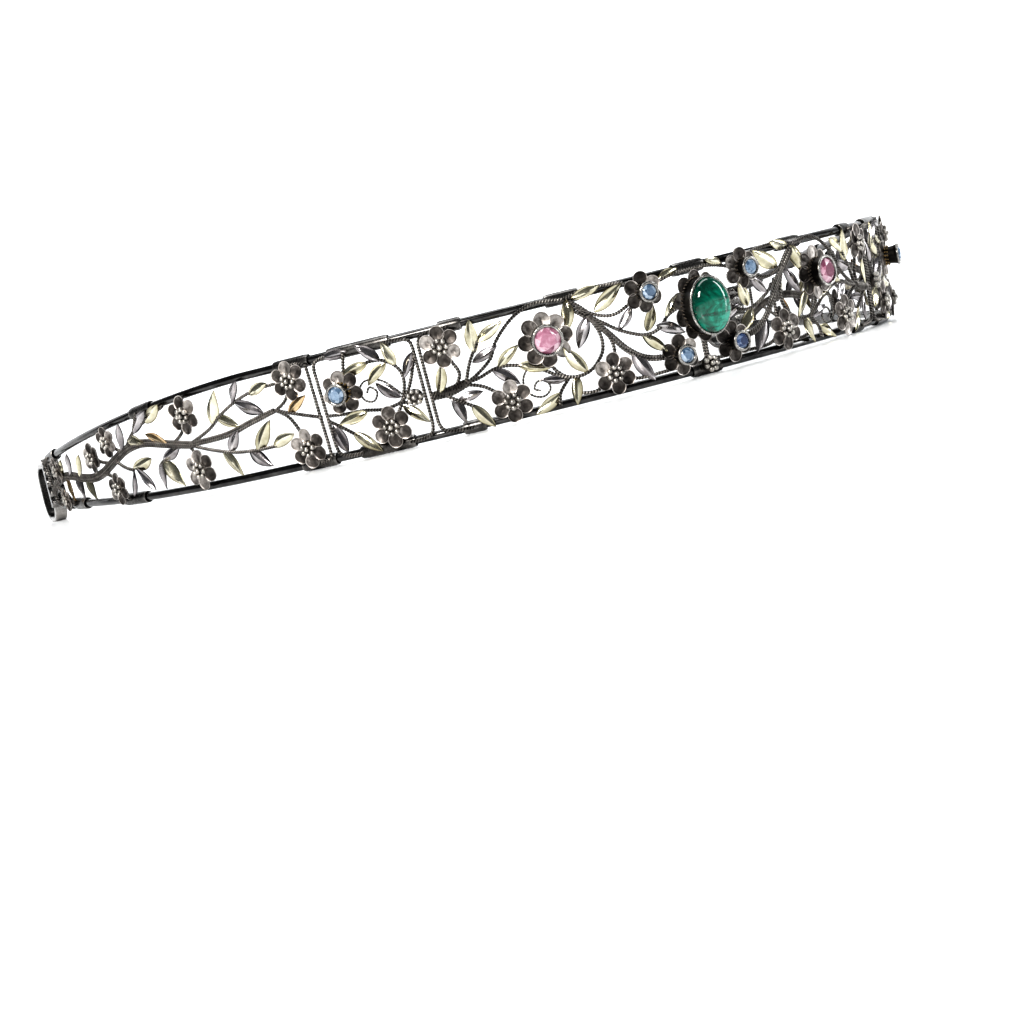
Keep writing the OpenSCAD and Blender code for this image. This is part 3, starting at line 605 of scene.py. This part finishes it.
def collet(parts, put, w, h, height, mirror, notches, gold=0):
    """A deep tapered collet: a beaded gallery at its foot, dark walls and a bright rim over the stone."""
    base, top = PETAL_FRONT - 0.1, PETAL_FRONT + height
    sides = 48 if notches > 30 else 32
    walls = [(-0.12, base - 0.7, 0.1), (0.02, base, 0.15), (0.1, base + height * 0.35, 0.1),
             (0.22, base + height * 0.7, 0.12), (0.36, top - 0.35, 0.3), (0.46, top - 0.3, 0.6)]
    turned(parts["collets"], put, walls, w, h, sides, 0, mirror)
    rim = [(0.46, top - 0.3, 0.4), (0.5, top - 0.16, 0.6), (0.44, top - 0.02, 0.85), (0.26, top + 0.05, 0.9),
           (0.08, top, 0.7), (-0.02, top - 0.1, 0.45), (-0.02, top - 0.5, 0.1)]
    turned(parts["collets"], put, rim, w, h, sides, 1, mirror)
    # Two rows of beads round the foot and the notches of the rim, each row turned from the next
    rows = ((0.2, base + 0.3, 0.2, 0.5, gold), (0.27, base + 0.72, 0.17, 0.35, gold),
            (0.36, top - 0.02, 0.11, 0.55, 2))
    for k in range(notches):
        a = 2 * math.pi * (k + 0.5) / notches
        for grow, z, r, tone, slot in rows:
            x, y = (w / 2 + grow) * math.cos(a + z), (h / 2 + grow) * math.sin(a + z)
            ball(parts["galleries"], put, x, y, z, r, mirror, tone, 5, 8, slot)


def set_flower(parts, row, mirror, rng):
    """A flower with a collet instead of a mound."""
    panel, along, up, d, count, size = row
    put = place_on(panel, along, up)
    petals_round(parts, put, count, FLOWER_D * size / 2, SET_OVERLAP, 0.05, rng, mirror)
    notches = max(int(d * NOTCHES_PER_MM), FEWEST_NOTCHES)
    collet(parts, put, d, d, COLLET_HEIGHT, mirror, notches, 1 if panel is SIDE else 0)


# Stones

def cut_stone(stone, row, mirror, slot_name):
    """A round stone with a table, a star, kites and a girdle, and a pavilion below."""
    panel, along, up, d = row[:4]
    put = place_on(panel, along, up)
    top, depth = PETAL_FRONT + COLLET_HEIGHT + STONE_CLEARANCE, SEAT_SHARE * d + SEAT_LEAST
    girdle, table = top + GIRDLE_HEIGHT * depth, top + TABLE_HEIGHT * depth

    def ring(width, z, turns):
        return [(width * d / 2 * math.cos(a), width * d / 2 * math.sin(a), z) for a in turns]

    crown_z = table * CROWN_SHARE + girdle * (1 - CROWN_SHARE)
    eight = all_round(8)
    verts = np.array(ring(TABLE_WIDTH, table, eight) + ring(CROWN_WIDTH, crown_z, eight + math.pi / 8)
                     + ring(1, girdle, all_round(16)) + ring(FOOT_WIDTH, top + FOOT_HEIGHT * depth, eight))
    # Where the corners of the crown, the girdle and the foot begin
    crown_0, girdle_0, foot_0 = 8, 16, 32
    faces = [tuple(range(8))]
    for k in range(8):
        j = (k + 1) % 8
        crown, foot, next_foot = crown_0 + k, foot_0 + k, foot_0 + j
        a, b, c = [girdle_0 + (2 * k + i) % 16 for i in range(3)]
        faces += [(k, crown, j), (k, crown_0 + (k - 1) % 8, a, crown), (crown, a, b), (crown, b, c),
                  (a, foot, next_foot, b), (b, next_foot, c)]
    faces.append(tuple(foot_0 + k for k in range(7, -1, -1)))
    # Each facet has corners of its own and a random brightness, a painted sparkle standing in for reflections
    rng = random.Random(f"{stone}_gem")
    corners, apart, tones = [], [], []
    for f in faces:
        apart.append(tuple(range(len(tones), len(tones) + len(f))))
        corners.append(verts[list(f)])
        tones += [rng.random()] * len(f)
    piece = Piece()
    piece.add(put(np.concatenate(corners)), apart, np.array(tones), 0, mirror)
    piece.build(f"{stone}_gem", [GEMS[slot_name]], [f"{stone}_stone"], 0, slot_name)


def emerald_stone(material):
    """An oval domed stone with a short foot."""
    put = place_on(CENTRE, 0, EMERALD_UP)
    base = PETAL_FRONT + EMERALD_COLLET
    rows, sides = 15, 48
    v = np.linspace(0, math.pi / 2, rows)
    a = all_round(sides)
    r = np.append(np.sin(v) ** DOME_CURVE, EMERALD_FOOT_WIDTH)[:, None]
    z = np.append(base + (EMERALD_DOME + DOME_OVER) * np.cos(v) ** DOME_CURVE, base - EMERALD_FOOT)[:, None]
    verts = np.stack([EMERALD_W / 2 * r * np.cos(a), EMERALD_H / 2 * r * np.sin(a), z + 0 * a], -1)
    faces = [f[::-1] for f in grid_faces(rows + 1, sides, True)]
    faces.append(tuple(rows * sides + k for k in range(sides)))
    # Painted light: brighter at the lower right, as if light entering the dome at the upper left collected
    # there, and darker at the upper left
    painted_gather = 0.34 + 0.16 * (1 - r) + 0.5 * r * np.cos(a + math.radians(52))
    painted_gather[-1] = 0.2
    piece = Piece()
    piece.add(put(verts), faces, painted_gather.reshape(-1))
    piece.build("emerald_cabochon", [material], ["emerald"], 60, "emerald_stone")


# Rails, sleeves, loops

def rail(piece, which):
    """The lower or the upper rail, stepped about evenly along the front arc and both arms."""
    s = np.concatenate([np.linspace(-RAIL_END, -FRONT_ARC, 60)[:-1], np.linspace(-FRONT_ARC, FRONT_ARC, 90),
                        np.linspace(FRONT_ARC, RAIL_END, 60)[1:]])
    sweep(piece, spot(s, which * height_at(s), 0), facing(s), RAIL_R, RAIL_SIDES)


def sleeve(piece, panel, row, mirror):
    """A short tube round a rail with a rubbed lip at each end."""
    rail_of, start, end = row
    s = np.linspace(along_of(panel, start), along_of(panel, end), SLEEVE_STEPS)
    places = spot(s, rail_of * height_at(s), 0)
    t, ring = spokes(places, facing(s), all_round(SLEEVE_SIDES))
    r = np.full(len(s), SLEEVE_R - SLEEVE_WALL)
    r[[0, -1]] = SLEEVE_R - SLEEVE_END
    outer = places[:, None, :] + ring * r[:, None, None]
    lips = [places[i] + ring[i] * (SLEEVE_R - SLEEVE_LIP) + t[i] * d
            for i, d in ((0, -LIP_REACH), (-1, LIP_REACH))]
    inner = places[:, None, :] + ring * BORE_R
    rows = np.concatenate([lips[0][None], outer, lips[1][None], inner[::-1], lips[0][None]])
    tones = np.concatenate([[1], [0.9], np.full(SLEEVE_STEPS - 2, 0.45), [0.9], [1], np.zeros(SLEEVE_STEPS),
                            [0]])
    faces = [f[::-1] for f in grid_faces(len(rows), SLEEVE_SIDES, True)]
    piece.add(rows, faces, np.repeat(tones, SLEEVE_SIDES), 0, mirror)


def ribbon_loop(piece, mirror):
    """The cross plate with its scalloped edge, the bent strip and the web between the rail ends."""
    x, y, a = plan(LOOP_MIDDLE)
    low = low_at(PLATE_AT)
    high = low + height_at(PLATE_AT) * math.cos(LEAN)
    along = np.array([math.cos(a), math.sin(a), 0.0])
    across = np.array([-math.sin(a), math.cos(a), 0.0])
    o = np.array([x, y, 0.0])

    def put(p):
        p = np.asarray(p, float)
        return o + p[..., :1] * along + p[..., 1:2] * across + p[..., 2:3] * np.array([0, 0, 1.0])

    def slab(outline, depth, tone):
        """A flat outline with its edges eased, standing across the band."""
        p = np.asarray(outline, float)
        inner = p + unit(p.mean(0) - p) * PLATE_BEVEL
        wide = depth / 2 - PLATE_BEVEL
        rows = [(inner, -depth / 2), (p, -wide), (p, wide), (inner, depth / 2)]
        pts = np.array([[(q[0], d, q[1]) for q in ring] for ring, d in rows])
        piece.add(put(pts), grid_faces(4, len(p), True) + caps(4, len(p)), tone, 0, mirror)

    def outline(inset, steps=10):
        cx, cz = LOOP_LENGTH / 2 - LOOP_CORNER, LOOP_HEIGHT / 2 - LOOP_CORNER
        pts = []
        for qx, qz, start in ((cx, cz, 0), (-cx, cz, 90), (-cx, -cz, 180), (cx, -cz, 270)):
            for k in range(steps + 1):
                ang = math.radians(start + 90 * k / steps)
                pts.append((qx + (LOOP_CORNER - inset) * math.cos(ang),
                            LOOP_HEIGHT / 2 + qz + (LOOP_CORNER - inset) * math.sin(ang)))
        return pts

    # The strip: a bevelled section swept round the loop
    d, e = LOOP_DEPTH / 2, STRIP_BEVEL
    section = [(0.0, -d + e), (0.0, d - e), (e, d), (LOOP_STRIP - e, d), (LOOP_STRIP, d - e),
               (LOOP_STRIP, -d + e), (LOOP_STRIP - e, -d), (e, -d)]
    rows = np.array([[(q[0], w, q[1]) for q in outline(i)] for i, w in section + section[:1]])
    n = rows.shape[1]
    # The strip's inner face is dark, a painted shade inside the loop
    tones = np.repeat([0.9, 0.9, 1, 1, 0.2, 0.2, 1, 1, 0.9], n)
    piece.add(put(rows), grid_faces(len(rows), n, True), tones, 0, mirror)

    # The cross plate, with three beads on each scallop of its edge, and the web between the rail ends
    foot, tall = -LOOP_LENGTH / 2, high - low + 2 * RAIL_R
    edge = []
    for k in range(SCALLOPS):
        for t in np.linspace(0, 1, 7)[:-1]:
            bulge = SCALLOP_DEPTH * math.sin(math.pi * t) ** 0.6
            edge.append((foot - bulge, low - RAIL_R + (k + t) * tall / SCALLOPS))
    edge.append((foot, low - RAIL_R + tall))
    back = foot + PLATE_THICKNESS
    slab([(back, low - RAIL_R), (back, high + RAIL_R)] + edge[::-1], PLATE_DEPTH, 0.6)
    # The web is darker than the plate, a painted shade between the rail ends
    slab([(foot, low), (foot, high), (foot + RAIL_IN_LOOP, high), (foot + RAIL_IN_LOOP, low)],
         WEB_THICKNESS, 0.35)
    for k in range(SCALLOPS):
        z = low - RAIL_R + (k + 0.5) * tall / SCALLOPS
        for w in (-PLATE_BEAD_GAP, 0.0, PLATE_BEAD_GAP):
            ball(piece, put, foot - PLATE_BEAD_SINK, w, z, PLATE_BEAD_R, mirror, 0.8, 6, 10)


# Materials

def set_inputs(node, values):
    for key, value in values.items():
        node.inputs[key].default_value = value


def new_material(name):
    """A material with its tree, its shader, the object's own coordinates and the pieces' tone."""
    mat = bpy.data.materials.new(name)
    mat.use_nodes = True
    tree = mat.node_tree
    place = tree.nodes.new("ShaderNodeTexCoord").outputs["Object"]
    tone = tree.nodes.new("ShaderNodeAttribute")
    tone.attribute_name = "tone"
    return mat, tree, tree.nodes["Principled BSDF"], place, tone.outputs["Fac"]


def ramp(tree, value, stops):
    """A value as a colour between stops."""
    node = tree.nodes.new("ShaderNodeValToRGB")
    e = node.color_ramp.elements
    while len(e) < len(stops):
        e.new(0.5)
    for q, (at, col) in zip(e, stops):
        q.position = at
        q.color = (*col, 1)
    tree.links.new(value, node.inputs["Fac"])
    return node.outputs["Color"]


def noise(tree, place, scale, detail, roughness=0.5, distortion=0.0):
    node = tree.nodes.new("ShaderNodeTexNoise")
    set_inputs(node, {"Scale": scale, "Detail": detail, "Roughness": roughness, "Distortion": distortion})
    tree.links.new(place, node.inputs["Vector"])
    return node.outputs["Fac"]


def times_plus(tree, value, times, plus):
    """A value times a number, plus a number or another value."""
    node = tree.nodes.new("ShaderNodeMath")
    node.operation = "MULTIPLY_ADD"
    tree.links.new(value, node.inputs[0])
    node.inputs[1].default_value = times
    if isinstance(plus, float):
        node.inputs[2].default_value = plus
    else:
        tree.links.new(plus, node.inputs[2])
    return node.outputs[0]


def spread_over(tree, value, low, high, to_low, to_high):
    """A value between low and high as one between two others."""
    node = tree.nodes.new("ShaderNodeMapRange")
    set_inputs(node, {"From Min": low, "From Max": high, "To Min": to_low, "To Max": to_high})
    tree.links.new(value, node.inputs["Value"])
    return node.outputs["Result"]


def metal(name, dark, light, rough, scale, tone_share, bump, tint=None):
    """Blackened metal: a light colour where the tone is high, for rubbed edges and painted highlights, and
    dark where it is low, for oxide in hollows and painted shade; cloudy tarnish and fine scratches.
    """
    mat, tree, shader, place, tone = new_material(name)
    # The grain is seven times finer than the tarnish
    cloud = noise(tree, place, scale, 5, 0.62)
    grain = noise(tree, place, scale * 7, 3)
    # The tone and cloudy noise decide how much of the light colour shows; the tone holds rubbing, and on some
    # pieces painted highlight and painted shade
    rubbing_and_painted_light = times_plus(tree, tone, tone_share, times_plus(tree, cloud, 1.1, -0.42))
    if tint is None:
        tint = tuple(d + 0.22 * (q - d) for d, q in zip(dark, light))
    tree.links.new(ramp(tree, rubbing_and_painted_light, [(0.0, dark), (0.45, tint), (1.0, light)]), shader.inputs["Base Color"])
    shader.inputs["Metallic"].default_value = 1
    tree.links.new(spread_over(tree, grain, 0, 1, rough[1], rough[0]), shader.inputs["Roughness"])
    relief = tree.nodes.new("ShaderNodeBump")
    set_inputs(relief, {"Strength": bump, "Distance": 0.00005})
    tree.links.new(grain, relief.inputs["Height"])
    tree.links.new(relief.outputs["Normal"], shader.inputs["Normal"])
    return mat


def glassy(tree, shader, colour, ior, painted_glow, clear):
    """A smooth stone that light enters a little, with light painted in by emission in its own colour."""
    tree.links.new(colour, shader.inputs["Base Color"])
    tree.links.new(colour, shader.inputs["Emission Color"])
    set_inputs(shader, {"Emission Strength": painted_glow, "Roughness": 0.03, "IOR": ior,
                        "Transmission Weight": clear})


def gem(name, dark, mid, light, scale, painted_glow):
    """A coloured stone: facets of different brightness, a painted sparkle standing in for reflections, with
    veils inside and light painted in by emission.
    """
    mat, tree, shader, place, tone = new_material(name)
    mix = tree.nodes.new("ShaderNodeMix")
    mix.inputs["Factor"].default_value = 0.42
    tree.links.new(tone, mix.inputs[2])
    tree.links.new(noise(tree, place, scale, 6, distortion=1.6), mix.inputs[3])
    colour = ramp(tree, mix.outputs[0], [(0.24, dark), (0.5, mid), (0.78, light)])
    glassy(tree, shader, colour, 1.57, painted_glow, 0.12)
    return mat


def emerald_look():
    """A deep green dome: painted light brighter towards the lower right and light painted in by emission,
    with cloudy veils and dark needles inside.
    """
    mat, tree, shader, place, painted_gather = new_material("emerald_green")
    veil = noise(tree, place, 300, 6, 0.55, 2.4)
    lie = tree.nodes.new("ShaderNodeMapping")
    set_inputs(lie, {"Rotation": (0, math.radians(48), 0), "Scale": (0.22, 1, 1.5)})
    tree.links.new(place, lie.inputs["Vector"])
    needle = noise(tree, lie.outputs["Vector"], 640, 4, distortion=0.6)
    cloud = times_plus(tree, veil, 0.85, spread_over(tree, needle, 0.56, 0.68, 0, -0.25))
    total = times_plus(tree, painted_gather, 0.5, cloud)
    colour = ramp(tree, total, [(0.22, (0.0, 0.008, 0.005)), (0.46, (0.0, 0.045, 0.028)),
                                (0.66, (0.0, 0.13, 0.08)), (0.95, (0.02, 0.4, 0.28))])
    glassy(tree, shader, colour, 1.52, 0.15, 0.1)
    return mat


# Metals: dark colour, light colour for rubbed edges and painted highlights, roughness, scale of the tarnish,
# share of the tone, relief, and a colour between
rope_metal = metal("twisted_wire", (0.003, 0.0028, 0.0025), (0.27, 0.25, 0.23), (0.26, 0.44), 700, 0.68, 0.05)
petal_metal = metal("petal_silver", (0.02, 0.017, 0.015), (0.68, 0.63, 0.59), (0.34, 0.52), 900, 0.8, 0.3,
                    (0.095, 0.085, 0.078))
granule_metal = metal("granule_silver", (0.03, 0.027, 0.025), (0.8, 0.76, 0.7), (0.24, 0.4), 600, 0.75, 0.05)
silver_leaf = metal("silver_leaf", (0.02, 0.018, 0.018), (0.62, 0.59, 0.59), (0.13, 0.28), 420, 0.75, 0.12,
                    (0.19, 0.174, 0.178))
gilt_leaf = metal("gilt_leaf", (0.055, 0.034, 0.015), (0.93, 0.89, 0.72), (0.12, 0.26), 420, 0.78, 0.12,
                  (0.42, 0.385, 0.255))
orange_leaf = metal("orange_gold_leaf", (0.08, 0.04, 0.015), (0.93, 0.74, 0.47), (0.12, 0.26), 420, 0.78,
                    0.12, (0.5, 0.32, 0.15))
collet_metal = metal("collet_black", (0.006, 0.0055, 0.005), (0.12, 0.11, 0.1), (0.26, 0.42), 700, 0.5, 0.1)
rim_metal = metal("bright_rim", (0.04, 0.037, 0.034), (0.6, 0.58, 0.55), (0.18, 0.34), 900, 0.6, 0.12)
gallery_metal = metal("gallery_silver", (0.016, 0.014, 0.012), (0.28, 0.24, 0.19), (0.22, 0.4), 900, 0.6,
                      0.05)
gold_gallery = metal("gallery_gold", (0.12, 0.08, 0.03), (0.8, 0.6, 0.32), (0.18, 0.34), 900, 0.7, 0.05)
rail_metal = metal("rail_steel", (0.006, 0.006, 0.0065), (0.4, 0.39, 0.38), (0.12, 0.24), 260, 0.35, 0.05)
sleeve_metal = metal("sleeve_silver", (0.01, 0.0095, 0.009), (0.42, 0.4, 0.38), (0.2, 0.36), 420, 0.5, 0.08)
loop_metal = metal("loop_silver", (0.012, 0.0115, 0.011), (0.46, 0.44, 0.42), (0.18, 0.34), 420, 0.55, 0.08)

emerald_gem = emerald_look()
# Cut stones by slot: dark, middle and light colour, scale of the veils, and strength of the painted light
# from emission
GEMS = {name: gem(name, *look) for name, look in {
    "pink_stone": ((0.18, 0.05, 0.09), (0.43, 0.19, 0.27), (0.8, 0.58, 0.66), 900, 0.03),
    "blue_stone": ((0.04, 0.075, 0.13), (0.13, 0.205, 0.31), (0.44, 0.54, 0.66), 1100, 0.02),
    "dark_blue_stone": ((0.012, 0.025, 0.08), (0.04, 0.075, 0.18), (0.26, 0.34, 0.5), 1100, 0.02),
}.items()}


# The pieces

LOOKS = {"stems": [rope_metal], "leaves": [gilt_leaf, orange_leaf, silver_leaf], "petals": [petal_metal],
         "granules": [granule_metal], "collets": [collet_metal, rim_metal],
         "galleries": [gallery_metal, gold_gallery, rim_metal], "sleeves": [sleeve_metal]}


def panel_pieces(name, panel, sides, stems, leaves, flowers, clusters, settings, sleeves, extra=None):
    """All the pieces of one panel, for one half or both."""
    parts = {kind: Piece() for kind in LOOKS}
    for side in sides:
        mirror = side == LEFT
        rng = random.Random(name + str(side))
        for row in stems:
            rope(parts["stems"], panel, row, mirror, rng)
        for row in leaves:
            leaf(parts["leaves"], panel, row, mirror, rng)
        for row in flowers:
            flower(parts, panel, row, mirror, rng)
        for row in clusters:
            berries(parts, panel, row, mirror, rng)
        for row in settings:
            set_flower(parts, row, mirror, rng)
        for row in sleeves:
            sleeve(parts["sleeves"], panel, row, mirror)
        if extra:
            extra(parts, mirror, rng)
    for kind, piece in parts.items():
        if piece.n:
            piece.build(f"{name}_{kind}", LOOKS[kind], [name], 30 if kind == "leaves" else 50)


def centre_extras(parts, mirror, rng):
    """The wound trunks, and what crosses or stands in the front's middle."""
    coil(parts["stems"], CENTRE, [(98, 38), (93, 39), (87, 43)], mirror)
    if mirror:
        return
    for row in CROSS_STEMS:
        rope(parts["stems"], CENTRE, row, False, rng)
    for row in CENTRE_BERRIES:
        berries(parts, CENTRE, row, False, rng)
    for row in CENTRE_SLEEVES:
        sleeve(parts["sleeves"], CENTRE, row, False)
    put = place_on(CENTRE, 0, EMERALD_UP)
    over_w, over_h = EMERALD_W / 2 + EMERALD_BORDER, EMERALD_H / 2 + EMERALD_BORDER
    mean = (over_w + over_h) / 2
    petals_round(parts, put, EMERALD_PETALS, mean, EMERALD_OVERLAP, 0, rng, False,
                 (over_w / mean, over_h / mean))
    collet(parts, put, EMERALD_W, EMERALD_H, EMERALD_COLLET, False, EMERALD_NOTCHES)


panel_pieces("centre_panel", CENTRE, (RIGHT, LEFT), CENTRE_STEMS, CENTRE_LEAVES, CENTRE_FLOWERS, [],
             [PINK, UPPER_BLUE, LOWER_BLUE], [], centre_extras)
for side, word in ((LEFT, "left"), (RIGHT, "right")):
    panel_pieces(f"{word}_side_panel", SIDE, (side,), SIDE_STEMS, SIDE_LEAVES, SIDE_FLOWERS, SIDE_BERRIES,
                 [OUTER_BLUE], SIDE_SLEEVES)
    panel_pieces(f"{word}_end_panel", END, (side,), END_STEMS + END_STEMS_OF[side], END_LEAVES, END_FLOWERS,
                 [], [], END_SLEEVES[side])
    lower_slot = "dark_blue_stone" if side == RIGHT else "blue_stone"
    for stone, row, slot_name in ((f"{word}_pink", PINK, "pink_stone"),
                                  (f"upper_{word}_blue", UPPER_BLUE, "blue_stone"),
                                  (f"lower_{word}_blue", LOWER_BLUE, lower_slot),
                                  (f"{word}_outer_blue", OUTER_BLUE, "blue_stone")):
        cut_stone(stone, row, side == LEFT, slot_name)
emerald_stone(emerald_gem)

rods = Piece()
rail(rods, LOWER)
rail(rods, UPPER)
rods.build("rail_rods", [rail_metal], ["rails"], 50)
loops = Piece()
for side in (LEFT, RIGHT):
    ribbon_loop(loops, side == LEFT)
loops.build("ribbon_loops", [loop_metal], ["rails"], 35)


# Floor, light and camera

# The floor runs back and curls up into a wall, turned to face the camera
FLOOR_FRONT, FLOOR_BACK, FLOOR_HALF, CURL, WALL = -2.0, 1.5, 3.0, 0.5, 1.2
FLOOR_TURN, CURL_STEPS = math.radians(26), 12
bends = [k / CURL_STEPS * math.pi / 2 for k in range(CURL_STEPS + 1)]
rows = [(FLOOR_FRONT, 0.0)] + [(FLOOR_BACK + CURL * math.sin(a), CURL * (1 - math.cos(a))) for a in bends]
rows.append((FLOOR_BACK + CURL, CURL + WALL))
corners = []
for y, z in rows:
    for x in (-FLOOR_HALF, FLOOR_HALF):
        corners.append((x * math.cos(FLOOR_TURN) + y * math.sin(FLOOR_TURN),
                        -x * math.sin(FLOOR_TURN) + y * math.cos(FLOOR_TURN), z))
floor = bpy.data.meshes.new("floor")
floor.from_pydata(corners, [], [(2 * i, 2 * i + 1, 2 * i + 3, 2 * i + 2) for i in range(len(rows) - 1)])
floor.shade_smooth()
ground = bpy.data.objects.new("floor", floor)
scene.collection.objects.link(ground)
paper, tree, shader, place, tone = new_material("white_floor")
set_inputs(shader, {"Base Color": (0.9, 0.905, 0.91, 1), "Roughness": 0.22, "Specular IOR Level": 0.4,
                    "Emission Color": (0.97, 0.985, 1.0, 1)})
# Lit from within towards the back, as a bright studio wall
axes = tree.nodes.new("ShaderNodeSeparateXYZ")
tree.links.new(place, axes.inputs[0])
tree.links.new(spread_over(tree, axes.outputs["Y"], 0.25, 1.3, 0.05, 1.0), shader.inputs["Emission Strength"])
floor.materials.append(paper)

world = bpy.data.worlds.new("studio")
scene.world = world
world.use_nodes = True
set_inputs(world.node_tree.nodes["Background"], {"Color": (0.9, 0.95, 1.0, 1), "Strength": 0.12})


def softbox(name, place, aim, size, watts, colour):
    """A rectangular light at a place, turned to its aim."""
    light = bpy.data.lights.new(name, "AREA")
    light.shape = "RECTANGLE"
    light.size, light.size_y = size
    light.energy = watts
    light.color = colour
    box = bpy.data.objects.new(name, light)
    box.location = place
    box.rotation_euler = (Vector(aim) - Vector(place)).to_track_quat("-Z", "Y").to_euler()
    scene.collection.objects.link(box)


softbox("key", (-0.6, -0.5, 0.45), (0, -0.03, 0.01), (0.25, 0.25), 8.5, (1.0, 0.98, 0.95))
softbox("top", (0.0, 0.15, 0.9), (0, 0, 0), (0.9, 0.4), 6, (0.97, 0.99, 1.0))
softbox("right", (0.6, -0.3, 0.25), (0, 0, 0.01), (0.12, 0.5), 2.5, (0.95, 0.98, 1.0))

# The camera stands at the photograph's azimuth and roll, just above the floor
SENSOR, PICTURE, FOCAL_PIXELS = 36, 1024, 3199
AZIMUTH, ELEVATION, ROLL, DISTANCE = math.radians(-26.4), math.radians(3.5), math.radians(13.8), 0.508
# The emerald lies right of the picture's middle and above it, in metres at its distance
EMERALD_RIGHT, EMERALD_ABOVE = 0.0316, 0.0329
optics = bpy.data.cameras.new("camera")
optics.sensor_width = SENSOR
optics.lens = SENSOR * FOCAL_PIXELS / PICTURE
optics.clip_start, optics.clip_end = 0.01, 20
camera = bpy.data.objects.new("camera", optics)
forward = Vector((math.sin(-AZIMUTH) * math.cos(ELEVATION), math.cos(AZIMUTH) * math.cos(ELEVATION),
                  -math.sin(ELEVATION)))
level = forward.cross(Vector((0, 0, 1))).normalized()
upright = level.cross(forward)
up = upright * math.cos(ROLL) + level * math.sin(ROLL)
right = forward.cross(up)
stone_at = Vector(spot(0, up_of(0, EMERALD_UP), PETAL_FRONT + EMERALD_COLLET)) * MM
matrix = Matrix((right, up, -forward)).transposed().to_4x4()
matrix.translation = stone_at - forward * DISTANCE - right * EMERALD_RIGHT - up * EMERALD_ABOVE
camera.matrix_world = matrix
scene.collection.objects.link(camera)
scene.camera = camera
scene.view_settings.view_transform = "Standard"
scene.view_settings.look = "Medium High Contrast"
